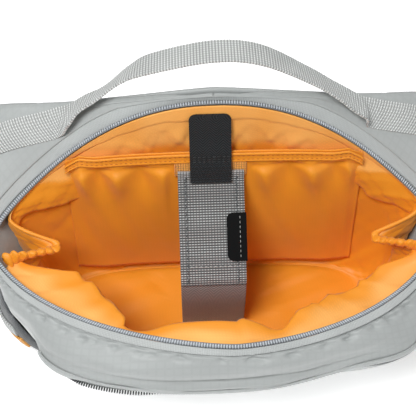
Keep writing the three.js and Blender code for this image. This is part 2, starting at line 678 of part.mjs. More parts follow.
// Side pockets with their zip, webbing and orange tab
for (const [hand, mirror] of [["right", 1], ["left", -1]]) {
  const turnAt = (share) => {
    const turn = SIDE_TURN_FROM + (SIDE_TURN_TO - SIDE_TURN_FROM) * share;
    return mirror > 0 ? turn : 360 - turn;
  };
  const levelAt = (share) => SIDE_LOW + (SIDE_HIGH - SIDE_LOW) * share;
  const arch = (share) => Math.max(Math.sin(Math.PI * share), 0) ** 0.5;
  const face = (distance) => (along, up) => {
    const spot = bodyOffset(turnAt(along), levelAt(up), GAP + distance);
    const out = bodyOut(turnAt(along), levelAt(up));
    out.z = 0;
    return spot.addScaledVector(out.normalize(), SIDE_SWELL * arch(along) * arch(up ** SIDE_LEAN));
  };
  const [outer, inner] = [face(SHELL_WALL), face(0)];
  add(`side_pocket_${hand}`, "stretch", solidBetween(outer, inner, steps(0, 1, 8), steps(0, 1, 6)));
  const zipLevel = (up) => SIDE_HIGH + SIDE_ZIP_ABOVE + SIDE_ZIP_TALL * up;
  const zip = (lift) => (along, up) => bodyOffset(turnAt(along), zipLevel(up), GAP + lift);
  add(`side_zip_${hand}`, "black", solidBetween(zip(WEBBING_WALL), zip(0), steps(0.06, 0.94, 8), [0, 1]));
  const onPocket = face(SHELL_WALL + GAP);
  const overPocket = face(SHELL_WALL + GAP + WEBBING_WALL);
  const bandUps = steps(SIDE_STRAP_LOW, SIDE_STRAP_HIGH, 2);
  add(`side_strap_${hand}`, "webbing", solidBetween(overPocket, onPocket, steps(0.2, 0.93, 6), bandUps));
  const tabUps = [SIDE_TAB_LOW, SIDE_TAB_HIGH];
  add(`side_tab_${hand}`, "orange", solidBetween(overPocket, onPocket, steps(0.85, 0.97, 2), tabUps));
}

// Waist belt: webbing from each wing's tip, turning back behind the pack to one plain buckle
const tip = backMiddle(WING_TIP, 0.5);
for (const [name, hand] of [["belt_strap_left", -1], ["belt_strap_right", 1]]) {
  const path = new THREE.CatmullRomCurve3([
    point(hand * (WING_TIP + 1.2), tip.y + 0.6, 0),
    point(hand * (WING_TIP + 9), tip.y + 5, 0),
    point(hand * (WING_TIP + 13), tip.y + 13, 0),
    point(hand * (WING_TIP + 9), BELT_BACK - 4, 0),
    point(hand * (WING_TIP - 4), BELT_BACK, 0),
    point(hand * 150, BELT_BACK, 0),
    point(hand * (BUCKLE_WIDTH / 2 + 0.6), BELT_BACK, 0),
  ]);
  const station = (u) => {
    const way = path.getTangent(u);
    const middle = path.getPoint(u);
    middle.z = BELT_CLEARANCE + BELT_HEIGHT / 2;
    return { middle, side: point(0, 0, 1), out: point(way.y, -way.x, 0).normalize() };
  };
  add(name, "belt", strap(station, steps(0, 1, 20), BELT_HEIGHT, BELT_WALL));
}
const buckle = plate(BUCKLE_WIDTH, BUCKLE_HEIGHT, BUCKLE_DEPTH, BUCKLE_CORNER).rotateX(Math.PI / 2);
add("belt_buckle", "buckle", buckle.translate(0, BELT_BACK, BUCKLE_HEIGHT / 2 + BELT_CLEARANCE));

export default group;
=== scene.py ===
"""Open hip pack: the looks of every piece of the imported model, and a plain stage.

Tables and formulas are in millimetres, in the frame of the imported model. Meshes are in metres.
"""
import math

import bmesh
import bpy
import numpy as np
from mathutils import Matrix, Vector


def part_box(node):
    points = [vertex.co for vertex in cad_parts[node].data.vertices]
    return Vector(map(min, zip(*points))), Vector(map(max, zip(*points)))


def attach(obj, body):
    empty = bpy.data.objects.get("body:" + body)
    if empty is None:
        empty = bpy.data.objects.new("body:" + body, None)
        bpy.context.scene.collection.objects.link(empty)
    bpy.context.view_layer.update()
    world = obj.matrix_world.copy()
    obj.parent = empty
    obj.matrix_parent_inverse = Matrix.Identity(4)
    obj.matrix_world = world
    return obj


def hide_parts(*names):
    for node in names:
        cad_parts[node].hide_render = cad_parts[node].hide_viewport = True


bl_info = {
    "name": "Open hip pack",
    "version": (1, 0, 0),
    "blender": (4, 5, 0),
    "location": "View3D > Sidebar > Hip pack",
    "description": "Makes the cloth, webbing, zips and padding of an open hip pack",
    "category": "Object",
}

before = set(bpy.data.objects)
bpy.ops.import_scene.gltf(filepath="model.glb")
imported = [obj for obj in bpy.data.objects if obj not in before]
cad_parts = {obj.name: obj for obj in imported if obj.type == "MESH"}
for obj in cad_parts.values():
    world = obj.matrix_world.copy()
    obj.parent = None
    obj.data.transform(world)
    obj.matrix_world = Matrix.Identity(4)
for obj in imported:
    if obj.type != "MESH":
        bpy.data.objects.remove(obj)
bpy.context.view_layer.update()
MM = 0.001

# Photograph's frame and the place the camera looks at
IMAGE_SIDE = 416
PIXEL_SIZE = 0.69
CAMERA_DISTANCE = 900
CAMERA_AZIMUTH = -2.05
CAMERA_ELEVATION = 60
CAMERA_TARGET = (-4.8, 34.5, 100)
SENSOR_WIDTH = 36

# Walls and gaps
SHELL_WALL = 1.6
LINING_WALL = 1.0
GAP = 0.5
WEBBING_WALL = 1.6
WEBBING_EDGE = 0.4
PADDED_WALL = 10
PADDED_EDGE = 4
PADDED_LOWEST = 0.4

# Rings of the body from the bottom to the rim, one value for each ring
RING = {
    "half": (112, 121, 135, 145, 152, 154),
    "seam": (0, 1, 5, 11, 13, 13),
    "front": (-42, -51, -73, -96.5, -96, -85),
    "back": (42, 47, 51, 57, 64, 70),
    "front_round": (4, 4, 3.6, 3, 2.2, 1.6),
    "rear_round": (4, 4, 4, 3.2, 2.6, 2.2),
    "front_z": (0, 9, 48, 92, 114, 130),
    "side_z": (0, 9, 46, 76, 91, 100),
    "back_z": (0, 9, 52, 98, 142, 178),
    "skew": (0, 0, 5, 9, 9, 9),
}
LAST_RING = len(RING["half"]) - 1
REAR_RISE = 3.3
FRONT_RISE = 2.5
TURN_WIDTH = 160
TURN_DEPTH = 90

# Lower front corners, which are tucked in: turn, spread, and how far across and back
TUCKS = ((157, 13, 0, 9.5), (231, 9, 8.5, 1))
TUCK_LEVEL = 0.55
TUCK_TALL = 0.3
TUCK_TOP = 0.2

# Middle of the padded back panel and wings, one value for each distance across
BACK = {
    "across": (0, 50, 100, 150, 190, 225, 250),
    "low_y": (58, 58, 59, 66, 78, 97, 120),
    "low_z": (3, 3, 3, 3, 3, 3, 3),
    "mid_y": (66, 66, 68, 77, 88, 104, 122),
    "mid_z": (95, 93, 88, 72, 58, 40, 26),
    "top_y": (76, 78.5, 89, 98, 110, 118, 126),
    "top_z": (184, 174.5, 154, 140, 110, 78, 50),
}
WING_START = 118
WING_TIP = 250

# Shoulder cloth from the rear zip to the top of the panel
SHOULDER_START = 10
SHOULDER_END = 182
SHOULDER_SWELL = 0.07
SHOULDER_FIRST_TURN = 4
SHOULDER_TURNS = 84
SHOULDER_OUT = 0.9
SHOULDER_UP = 0.6
SHOULDER_BEFORE_PANEL = 2.4
SHOULDER_FULL_LENGTH = 13

# Main zip
TAPE_WIDTH = 7
TAPE_WALL = 0.8
TAPE_DROP = 0.055
COIL_WIDTH = 3.2
COIL_INSET = 2.7
REAR_ZIP_TURN = 82
FRONT_ZIP_TURN = 84

# Lining: its drawn-in ends
LINING_TOP = 0.962
END_DRAW = 40
END_SAG = 7
END_SPREAD = 8.5
ELASTIC_HALF_TURN = 12

# Front of the lining, whose top falls inwards. FALLS adds to it at some turns: turn, spread and depth
FALL_DEPTH = 31
FALL_SAG = 6.5
FALL_SAG_TOP = 0.045
FALL_HALF_TURN = 84
FALL_ENDS = 14
FALL_TOP = 0.1
FALL_LOW = 0.6
FALL_TALL = 0.24
FALLS = ((138, 22, 14), (167, 5.5, -9), (206, 8, -9), (243, 22, 17.5))

# Pocket sleeve on the back wall
SLEEVE_HALF = 101
SLEEVE_LOW = 15
SLEEVE_HIGH = 142
SLEEVE_GAP = 6.2
SLEEVE_END_GAP = 2.2
SLEEVE_END = 24
SLEEVE_BELOW_RIM = 2.5
SLEEVE_SWELL = 4
BINDING_HEIGHT = 8

# Straps inside, a little left of the middle, as side paths of depth and height
INNER_CENTRE = -2.5
TAB_WIDTH = 28
TAB_PATH = ((64.2, 171), (58, 155), (50.8, 144), (49.3, 138), (46.3, 133), (43.6, 126), (41.5, 122.5))
CROSS_WIDTH = 48
CROSS_LOW = 122.5
CROSS_HIGH = 133
STRAP_WIDTH = 45
STRAP_PATH = ((47.3, 131), (44.8, 121.5), (37, 113.5), (26, 106.5), (4, 92.5), (-8, 84), (-13, 77))
UNDER_PATH = ((5.3, 90.7), (-6.7, 82.2), (-11.2, 75.5), (-12.8, 68), (-13, 55), (-11.5, 38), (-9.5, 21),
              (-8, 5))
LABEL_FROM = 0.4
LABEL_TO = 0.8
LABEL_LEFT = 10
LABEL_RIGHT = 23.5
LABEL_WALL = 0.8

# Handle webbing: places of its standing arch and the way its width points there
HANDLE_WIDTH = 20
HANDLE_ARCH = (
    ((-97, 74, 159), (0, 0.97, -0.13)),
    ((-87, 78, 167), (0.2, 0.9, -0.34)),
    ((-74, 82, 173), (0.33, 0.86, -0.36)),
    ((-57, 86.5, 187), (0.28, 0.9, -0.32)),
    ((-40, 88, 196), (0.15, 0.97, -0.2)),
    ((0, 87, 208.5), (0, 0.98, -0.2)),
    ((31, 87, 203.5), (-0.05, 0.98, -0.2)),
    ((64, 85, 182), (-0.2, 0.95, -0.23)),
    ((82, 82, 168.5), (-0.2, 0.95, -0.2)),
    ((93, 78.5, 161), (-0.1, 0.97, -0.12)),
    ((102, 75, 156.5), (-0.05, 0.98, -0.08)),
)
SEWN_STATIONS = ((182, 28, 24), (158, 25, 21), (134, 19, 17), (109, 13, 12))
SEWN_LIFT = 1.1

# Front pocket and its zip, in turns and levels of the body
POCKET_HALF_TURN = 6 * 360 / 44
POCKET_LOW = 0.2
POCKET_HIGH = 0.52
POCKET_SWELL = 1.5
POCKET_ZIP_HALF_TURN = 44
POCKET_ZIP_LEVEL = 0.6

# Side pockets
SIDE_TURN_FROM = 74
SIDE_TURN_TO = 116
SIDE_LOW = 0.24
SIDE_HIGH = 0.56
SIDE_SWELL = 18
SIDE_LEAN = 0.6

# Waist belt
BELT_HEIGHT = 38
BELT_WALL = 2
BELT_BACK = 148
BELT_CLEARANCE = 0.4
BUCKLE_SIZE = (64, 10, 46)


def linear(hex_colour):
    """An sRGB hex colour as linear red, green, blue and alpha."""
    parts = [int(hex_colour[i:i + 2], 16) / 255 for i in (1, 3, 5)]
    return [p / 12.92 if p <= 0.04045 else ((p + 0.055) / 1.055) ** 2.4 for p in parts] + [1.0]


def length_property(name, description, millimetres):
    """A length that a user may change, given in millimetres."""
    return bpy.props.FloatProperty(
        name=name, description=description, default=millimetres * MM, unit="LENGTH", precision=5)


def colour_property(name, description, hex_colour):
    """A colour that a user may change, given as an sRGB hex value."""
    return bpy.props.FloatVectorProperty(
        name=name, description=description, default=linear(hex_colour), size=4, subtype="COLOR", min=0, max=1)


class HipPackSizes(bpy.types.PropertyGroup):
    """Sizes of the fine detail of the pack."""

    tooth_pitch: length_property("Zip pitch", "Distance from one turn of the zip coil to the next", 1.75)
    ripstop_pitch: length_property("Ripstop pitch", "Distance between the thick threads of the cloth", 2.2)
    rib_pitch: length_property("Strap rib", "Distance between the ribs of the holding strap", 1.9)
    stitch_length: length_property("Stitch length", "Length of one stitch", 2.2)
    stitch_gap: length_property("Stitch gap", "Distance between two stitches", 1.1)
    hem_height: length_property("Hem height", "How far sewn edges stand above the zip tape", 1.7)
    pucker_depth: length_property("Pucker depth", "Depth of the puckers along the sewn edges", 3.2)


class HipPackColours(bpy.types.PropertyGroup):
    """Colours of the cloth, webbing and plastic of the pack."""

    shell: colour_property("Shell", "Light grey nylon of the outside", "#AAAEAD")
    lining: colour_property("Lining", "Orange coated nylon of the inside", "#F29A22")
    # The facing colour is also laid over the rear wall and the front fold as painted light
    facing: colour_property("Facing", "Paler orange strip of the lining along the zip", "#FFBA62")
    tape: colour_property("Zip tape", "Woven tape of the main zip", "#C0C4C3")
    coil: colour_property("Zip coil", "Coil of the main zip", "#C4CAD0")
    webbing: colour_property("Webbing", "Light grey webbing of the handle", "#DCDFDD")
    strap: colour_property("Holding strap", "Grey webbing of the holding strap", "#D8DBDB")
    black: colour_property("Black webbing", "Black webbing of the hanging tab", "#2E3235")
    patch: colour_property("Patch", "Black patch on the holding strap", "#131415")
    orange: colour_property("Orange webbing", "Ribbed orange webbing", "#FFB24E")
    stretch: colour_property("Stretch cloth", "Dark stretch cloth of the side pockets", "#43474A")
    belt: colour_property("Belt webbing", "Dark grey webbing of the belt", "#4A4E51")
    buckle: colour_property("Buckle", "Black moulded plastic of the buckle", "#1D1F21")
    light_thread: colour_property("Light thread", "Thread of the grey seams", "#D0D3D1")
    dark_thread: colour_property("Dark thread", "Thread of the strap and tab seams", "#4B4F52")
    orange_thread: colour_property("Orange thread", "Thread of the lining seams", "#C9650F")
    floor: colour_property("Floor", "Plain pale floor of the stage", "#F4F4F4")


# Shapes


def bump(distance, spread):
    """A round hill of height 1 over a distance."""
    return np.exp(-((distance / spread) ** 2))


def ease(value):
    """Rises smoothly from 0 to 1 as a value goes from 0 to 1."""
    held = np.clip(value, 0, 1)
    return held * held * (3 - 2 * held)


def ripple(place, wave, seed):
    """An uneven wave from -1 to 1 of about that wavelength, the same on every run."""
    parts = ((1.0, 0.5, 1.7), (0.617, 0.3, 4.1), (0.371, 0.2, 7.3))
    return sum(part * np.sin(2 * np.pi * place / (wave * stretch) + seed * turn)
               for stretch, part, turn in parts)


def unit(ways):
    """Vectors made one long."""
    return ways / np.maximum(np.linalg.norm(ways, axis=-1, keepdims=True), 1e-9)


def smooth(values, at):
    """A smooth value between the rows of a column, where at counts rows."""
    values = np.asarray(values, float)
    last = len(values) - 1
    at = np.asarray(at, float)
    row = np.clip(np.floor(at).astype(int), 0, last - 1)
    t = np.clip(at, 0, last) - row
    if values.ndim > 1:
        t = t[..., None]
    before, start, end, after = (values[np.clip(row + i, 0, last)] for i in (-1, 0, 1, 2))
    slope_start = (end - before) / 2
    slope_end = (after - start) / 2
    rise = end - start
    return (start + slope_start * t + (3 * rise - 2 * slope_start - slope_end) * t ** 2
            + (slope_start + slope_end - 2 * rise) * t ** 3)


def pair(one, other):
    """Two values or arrays as arrays of one shape."""
    return np.broadcast_arrays(np.asarray(one, float), np.asarray(other, float))


def at_rows(row, across):
    """Row numbers and places across them as arrays of one shape."""
    return np.broadcast_arrays(row.astype(int), across)


def run_of(points):
    """How far along a line of points each of them lies."""
    return np.concatenate([[0], np.cumsum(np.linalg.norm(np.diff(points, axis=0), axis=1))])


def spots(x, y, z):
    """Points from their three coordinates."""
    return np.stack(np.broadcast_arrays(np.asarray(x, float), y, z), axis=-1)


def body(turn, level):
    """The outside of the body. Turn 0 is the middle of the back, 90 the right end, 180 the front."""
    turn, level = pair(turn, level)
    at = np.clip(level, 0, None) * LAST_RING
    ring = {name: smooth(column, at) for name, column in RING.items()}
    way_x = TURN_WIDTH * np.sin(np.radians(turn))
    way_y = TURN_DEPTH * np.cos(np.radians(turn))
    rear = way_y > 0
    depth = np.where(rear, ring["back"] - ring["seam"], ring["seam"] - ring["front"])
    power = np.where(rear, ring["rear_round"], ring["front_round"])
    reach = (np.abs(way_x / ring["half"]) ** power + np.abs(way_y / depth) ** power) ** (-1 / power)
    share = np.abs(reach * way_y) / depth
    top = np.where(rear, ring["back_z"], ring["front_z"])
    height = ring["side_z"] + (top - ring["side_z"]) * share ** np.where(rear, REAR_RISE, FRONT_RISE)
    lean = np.where(rear, 0, ring["skew"] * share ** 2)
    floor = np.minimum(level, 0) + 1
    lifted = np.clip(level, 0, None)
    tucked = bump(lifted - TUCK_LEVEL, TUCK_TALL) * ease((1 - lifted) / TUCK_TOP) * ease(lifted / TUCK_TOP)
    across = sum(far * bump(turn - middle, spread) for middle, spread, far, _ in TUCKS) * tucked
    back = sum(far * bump(turn - middle, spread) for middle, spread, _, far in TUCKS) * tucked
    x = (reach * way_x + lean) * floor + across
    y = (ring["seam"] + reach * way_y) * floor + back
    return spots(x, y, height)


def outward(surface, u, v, step_u, step_v):
    """The way out of a surface, from two short steps on it."""
    along_u = surface(u + step_u, v) - surface(u - step_u, v)
    along_v = surface(u, v + step_v) - surface(u, v - step_v)
    return unit(np.cross(along_v, along_u))


def body_out(turn, level):
    """The way out of the body, straight down under its flat bottom."""
    turn, level = pair(turn, level)
    way = outward(body, turn, np.clip(level, 0.004, 0.995), 0.4, 0.004)
    return np.where((level <= -0.02)[..., None], (0.0, 0.0, -1.0), way)


def body_offset(turn, level, distance):
    """A place on the body, moved out by a distance."""
    spot = body(turn, level)
    return spot + body_out(turn, level) * np.broadcast_to(distance, spot.shape[:-1])[..., None]


def rear_wall(across, level):
    """Depth and height of the back of the body at a distance across and a level."""
    ring = {name: smooth(column, level * LAST_RING) for name, column in RING.items()}
    used = np.minimum(np.abs(across) / ring["half"], 0.985)
    share = (1 - used ** ring["rear_round"]) ** (1 / ring["rear_round"])
    height = ring["side_z"] + (ring["back_z"] - ring["side_z"]) * share ** REAR_RISE
    return ring["seam"] + (ring["back"] - ring["seam"]) * share, height


def rear_depth(across, height):
    """Depth of the back of the body at a distance across and a height."""
    across, height = pair(across, height)
    low, high = np.zeros(across.shape), np.ones(across.shape)
    for _ in range(24):
        middle = (low + high) / 2
        under = rear_wall(across, middle)[1] < height
        low, high = np.where(under, middle, low), np.where(under, high, middle)
    return rear_wall(across, low)[0]


def end_distance(turn):
    """Turns from the nearer end of the mouth."""
    return np.minimum(np.abs(turn - 90), np.abs(turn - 270))


def front_share(turn):
    """How far a turn belongs to the fallen front of the lining, from 0 to 1."""
    return ease((FALL_HALF_TURN - np.abs(turn - 180)) / FALL_ENDS)


def fall_share(level, top):
    """How far a level of the lining has fallen inwards, from 0 to 1."""
    return ease((1 - level) / top) * ease((level - FALL_LOW) / FALL_TALL)


def front_fall(turn):
    """How far the front of the lining falls inwards at a turn."""
    more = sum(depth * bump(turn - middle, spread) for middle, spread, depth in FALLS)
    return (FALL_DEPTH + more) * front_share(turn)


def lining(turn, level, more=0.0, lower=0.0):
    """The outside of the lining, and where wanted a little further in and a little lower."""
    turn, level = pair(turn, level)
    spot = body_offset(turn, np.where(level < 0, level, level * LINING_TOP), -(SHELL_WALL + GAP))
    lifted = np.clip(level, 0, None)
    drawn = bump(end_distance(turn), END_SPREAD)
    inward = END_DRAW * drawn * lifted ** 1.5 + front_fall(turn) * fall_share(lifted, FALL_TOP) + more
    sag = FALL_SAG * front_share(turn) * fall_share(lifted, FALL_SAG_TOP) + lower
    way = unit(spots(-spot[..., 0], 10 - spot[..., 1], 0))
    return spot + way * inward[..., None] - spots(0, 0, END_SAG * drawn * lifted ** 3 + sag)


def back_middle(across, share):
    """Middle of the padded panel and wings, at a share of the height."""
    across, share = pair(across, share)
    at = np.interp(np.abs(across), BACK["across"], range(len(BACK["across"])))
    low, mid, top = (spots(across, smooth(BACK[f"{edge}_y"], at), smooth(BACK[f"{edge}_z"], at))
                     for edge in ("low", "mid", "top"))
    share = share[..., None]
    off = mid - (low + top) / 2
    return low + (top - low) * share + off * share * (1 - share) * 4


def back_face(side, grown=0.0):
    """One face of the padded panel, grown by a distance. Side 1 faces the pack and -1 the wearer."""
    def face(across, share):
        across, share = pair(across, share)
        way = outward(back_middle, across, np.clip(share, 0.02, 0.98), 0.5, 0.01)
        round_it = np.sin(np.pi * np.clip(share, 0, 1)) ** 0.6
        half = (PADDED_EDGE + (PADDED_WALL - PADDED_EDGE) * round_it) / 2 + grown
        spot = back_middle(across, share) + way * (side * half)[..., None]
        spot[..., 2] = np.maximum(spot[..., 2], PADDED_LOWEST)
        return spot
    return face


def shoulder_turn(hand, share):
    """Turn of the body below a share of the shoulder."""
    turn = SHOULDER_FIRST_TURN + SHOULDER_TURNS * share
    return turn if hand > 0 else 360 - turn


def shoulder(hand):
    """The shoulder cloth, from its share along and its rise from the rim to the panel."""
    def surface(share, rise):
        share, rise = pair(share, rise)
        low = body_offset(shoulder_turn(hand, share), 1, SHOULDER_OUT)
        low = low + spots(0, 0, SHOULDER_UP)
        across = hand * (SHOULDER_START + (SHOULDER_END - SHOULDER_START) * share)
        one, other = back_face(-1)(across, 1), back_face(1)(across, 1)
        edge = np.where((one[..., 1] < other[..., 1])[..., None], one, other)
        edge = edge - spots(0, SHOULDER_BEFORE_PANEL, 0)
        length = np.linalg.norm(edge - low, axis=-1)
        swell = SHOULDER_SWELL * length * np.sin(np.pi * rise)
        return low + (edge - low) * rise[..., None] + spots(0, 0, swell)
    return surface


def shoulder_out(hand, share, rise):
    """The way out of the shoulder cloth, up and to the front."""
    way = outward(shoulder(hand), np.clip(share, 0.01, 0.99), np.clip(rise, 0.02, 0.98), 0.01, 0.02)
    return np.where((way[..., 2] < way[..., 1])[..., None], -way, way)


def shoulder_length(hand, share):
    """Length of the shoulder cloth from the rim to the panel, never nothing."""
    surface = shoulder(hand)
    gap = surface(share, 1) - surface(share, 0)
    return np.maximum(np.linalg.norm(gap, axis=-1), 1)


def shoulder_scale(length):
    """How far the tape and hem narrow where the shoulder is short."""
    return np.minimum(length / SHOULDER_FULL_LENGTH, 1)


def sleeve_top(across):
    """Height of the sleeve's mouth at a distance across."""
    half, power, side, back = (RING[name][-1] for name in ("half", "rear_round", "side_z", "back_z"))
    share = (1 - (np.abs(across) / half) ** power) ** (1 / power)
    rim = side + (back - side) * share ** REAR_RISE
    return np.minimum(SLEEVE_HIGH, rim - SLEEVE_BELOW_RIM)


def sleeve(distance):
    """The flat pocket on the back wall, moved to the front by a distance."""
    def surface(across, share):
        across, share = pair(across, share)
        height = SLEEVE_LOW + (sleeve_top(across) - SLEEVE_LOW) * share
        swell = SLEEVE_SWELL * np.cos(np.pi * across / (2 * SLEEVE_HALF)) * np.sin(np.pi * share)
        inside = ease((SLEEVE_HALF - np.abs(across)) / SLEEVE_END)
        gap = SLEEVE_END_GAP + (SLEEVE_GAP - SLEEVE_END_GAP) * inside
        depth = rear_depth(across, height) - SHELL_WALL - GAP - LINING_WALL - gap
        return spots(across, depth - swell - distance, height)
    return surface


def along_path(rows, count):
    """Points at even steps along a smooth line through rows of points, the ways it runs there and its run."""
    rows = np.asarray(rows, float)
    fine = smooth(rows, np.linspace(0, len(rows) - 1, 60 * len(rows)))
    run = run_of(fine)
    at = np.linspace(0, run[-1], count)
    points = np.stack([np.interp(at, run, fine[:, k]) for k in range(fine.shape[1])], axis=1)
    return points, unit(np.gradient(points, axis=0)), at


def ribbon(middle, side, out, width, lift):
    """A strap over its rows and the share across it. Its width and lift may change from row to row."""
    side, out = (np.broadcast_to(way, middle.shape) for way in (side, out))
    width, lift = (np.broadcast_to(value, len(middle)) for value in (width, lift))

    def surface(row, across):
        row, across = at_rows(row, across)
        return middle[row] + side[row] * (across * width[row])[..., None] + out[row] * lift[row][..., None]
    return surface


# Meshes


def lay_grid(shape, surface, us, vs, flip=False, mark=None):
    """Adds a grid to a bmesh, moves its points onto a surface and gives it a UV map in metres of cloth.

    Where there is a mark, it gives each point a value for the material.
    """
    us, vs = np.asarray(us, float), np.asarray(vs, float)
    places = surface(us[:, None], vs[None, :])
    steps_u = np.linalg.norm(np.diff(places, axis=0), axis=2)
    steps_v = np.linalg.norm(np.diff(places, axis=1), axis=2)
    flat_u = np.pad(np.cumsum(steps_u, axis=0), ((1, 0), (0, 0)))
    flat_u = flat_u - flat_u[len(us) // 2]
    flat_v = np.pad(np.cumsum(steps_v, axis=1), ((0, 0), (1, 0)))
    uv_map = shape.loops.layers.uv.get("cloth") or shape.loops.layers.uv.new("cloth")
    mark_layer = shape.verts.layers.float.new("mark") if mark else None
    made = bmesh.ops.create_grid(shape, x_segments=len(us) - 1, y_segments=len(vs) - 1, size=0.5)["verts"]
    spot_of = {}
    for vert in made:
        spot = (round((vert.co.x + 0.5) * (len(us) - 1)), round((vert.co.y + 0.5) * (len(vs) - 1)))
        spot_of[vert] = spot
        vert.co = places[spot] * MM
    faces = {face for vert in made for face in vert.link_faces}
    for face in faces:
        for loop in face.loops:
            spot = spot_of[loop.vert]
            loop[uv_map].uv = (flat_u[spot] * MM, flat_v[spot] * MM)
    if mark:
        values = np.broadcast_to(mark(us[:, None], vs[None, :]), places.shape[:2])
        for vert, spot in spot_of.items():
            vert[mark_layer] = values[spot]
    if flip:
        bmesh.ops.reverse_faces(shape, faces=list(faces))


def size_of(name):
    """A size of the fine detail from the scene's settings, in millimetres."""
    return getattr(bpy.context.scene.hip_pack_sizes, name) / MM


def link_mesh(name, mesh):
    """A mesh as a smooth object of the scene."""
    mesh.polygons.foreach_set("use_smooth", [True] * len(mesh.polygons))
    piece = bpy.data.objects.new(name, mesh)
    bpy.context.scene.collection.objects.link(piece)
    return piece


def to_piece(name, shape):
    """A finished bmesh as a smooth object of the scene."""
    mesh = bpy.data.meshes.new(name)
    shape.to_mesh(mesh)
    shape.free()
    return link_mesh(name, mesh)


def add_box(shape, place, size, radius, segments):
    """Adds a box with rounded edges to a bmesh, at a place and with a size in metres."""
    made = bmesh.ops.create_cube(shape, size=1, matrix=place @ Matrix.Diagonal((*size, 1)))["verts"]
    edges = [edge for edge in shape.edges if edge.verts[0] in made]
    bmesh.ops.bevel(shape, geom=edges, offset=radius * MM, offset_type="OFFSET", affect="EDGES",
                    segments=segments, profile=0.5, material=-1)


def grid_piece(name, surface, us, vs, wall=0.0, wraps=False, flip=False, edge=0.0, mark=None):
    """A piece of cloth or webbing on a surface, with its wall behind it and its edge rounded."""
    shape = bmesh.new()
    lay_grid(shape, surface, us, vs, flip, mark)
    if wraps:
        bmesh.ops.remove_doubles(shape, verts=shape.verts[:], dist=1e-6)
    piece = to_piece(name, shape)
    if wall:
        thicken(piece, wall, edge)
    return piece


def thicken(piece, wall, edge=0.0):
    """Gives a sheet its wall on the side behind it, and rounds the edge of the wall."""
    solid = piece.modifiers.new("wall", "SOLIDIFY")
    solid.thickness = wall * MM
    solid.offset = -1
    if edge:
        rounding = piece.modifiers.new("edge", "BEVEL")
        rounding.width = edge * MM
        rounding.segments = 2
        rounding.limit_method = "ANGLE"
        rounding.angle_limit = math.radians(60)


def finish_piece(piece, material, slot, *nodes):
    """Gives a piece its material and lets it ride on the body in place of its nodes, which it hides. The slot
    is not used.
    """
    piece.data.materials.append(material_of(material))
    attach(piece, "root")
    if nodes:
        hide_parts(*nodes)
    return piece


def strew(name, places, ways, sizes):
    """One mesh of many small round beads, such as stitches, each along its three ways and all of one size."""
    bead = bmesh.new()
    bmesh.ops.create_icosphere(bead, subdivisions=1, radius=0.5)
    corners = np.array([vert.co for vert in bead.verts])
    bead.verts.index_update()
    faces = [[vert.index for vert in face.verts] for face in bead.faces]
    bead.free()
    along, side, up = ways
    shaped = corners * np.asarray(sizes, float)
    moved = (np.asarray(places)[:, None, :] + shaped[None, :, :1] * along[:, None, :]
             + shaped[None, :, 1:2] * side[:, None, :] + shaped[None, :, 2:] * up[:, None, :])
    count = len(corners)
    all_faces = [[index + count * copy for index in face] for copy in range(len(moved)) for face in faces]
    mesh = bpy.data.meshes.new(name)
    mesh.from_pydata((moved.reshape(-1, 3) * MM).tolist(), [], all_faces)
    return link_mesh(name, mesh)


def even_places(points, pitch):
    """Rows at one pitch along a line of points, most of them between its own rows."""
    run = run_of(points)
    return np.interp(np.arange(pitch / 2, run[-1], pitch), run, np.arange(len(points)))


def pick(values, rows):
    """The values of an array at rows that may lie between its own rows."""
    low = np.clip(np.floor(rows).astype(int), 0, len(values) - 2)
    share = (rows - low)[:, None]
    return values[low] * (1 - share) + values[low + 1] * share


def line_ways(points, ups, pitch):
    """Rows at one pitch along a line of points, with their places and the ways along, aside and up."""
    rows = even_places(points, pitch)
    along = unit(pick(np.gradient(points, axis=0), rows))
    up = unit(pick(ups, rows))
    return rows, pick(points, rows), along, unit(np.cross(up, along)), up


def sew(name, lines, material, slot, width=0.55):
    """All stitches of some seam lines as one piece. A line is its points and the way up from the cloth."""
    pitch = size_of("stitch_length") + size_of("stitch_gap")
    parts = [line_ways(points, ups, pitch)[1:4] for points, ups in lines]
    places, along, side = (np.concatenate(column) for column in zip(*parts))
    ways = (along, side, unit(np.cross(along, side)))
    return finish_piece(strew(name, places, ways, (size_of("stitch_length"), width, width)), material, slot)


# Materials. Sizes of patterns are in millimetres. The real weaves of the tape, the webbing and the knit are
# too fine to show in the picture, so they are drawn about twice as coarse.


def add_node(tree, kind, inputs=None, give=0, **settings):
    """Adds a node with its own settings, and with values or links for its inputs, and gives one output."""
    made = tree.nodes.new("ShaderNode" + kind)
    for name, value in settings.items():
        setattr(made, name, value)
    for name, value in (inputs or {}).items():
        if isinstance(value, bpy.types.NodeSocket):
            tree.links.new(value, made.inputs[name])
        else:
            made.inputs[name].default_value = value
    return made.outputs[give]


def new_material(name, roughness, sheen=0.0, ior=1.5):
    """A material with its shader set, and the tree to add its pattern to."""
    material = bpy.data.materials.new(name)
    material.use_nodes = True
    shader = material.node_tree.nodes["Principled BSDF"]
    shader.inputs["Roughness"].default_value = roughness
    shader.inputs["Sheen Weight"].default_value = sheen
    shader.inputs["IOR"].default_value = ior
    return material, material.node_tree, shader


def darker(colour, share):
    """A colour with its light cut to a share."""
    return [part * share for part in colour[:3]] + [1.0]


def cloth_axes(tree, by_place=False):
    """The two coordinates of a piece's cloth, from its own map or, on a pad, from the place across and up."""
    place = add_node(tree, "TexCoord", give="Object" if by_place else "UV")
    parts = add_node(tree, "SeparateXYZ", {0: place}).node.outputs
    return parts[0], parts[2 if by_place else 1]


def wave_over(tree, axis, pitch):
    """A smooth wave from 0 to 1 over one coordinate."""
    turned = add_node(tree, "Math", {0: axis, 1: 2 * math.pi / (pitch * MM)}, operation="MULTIPLY")
    wave = add_node(tree, "Math", {0: turned}, operation="SINE")
    return add_node(tree, "Math", {0: wave, 1: 0.5, 2: 0.5}, operation="MULTIPLY_ADD")


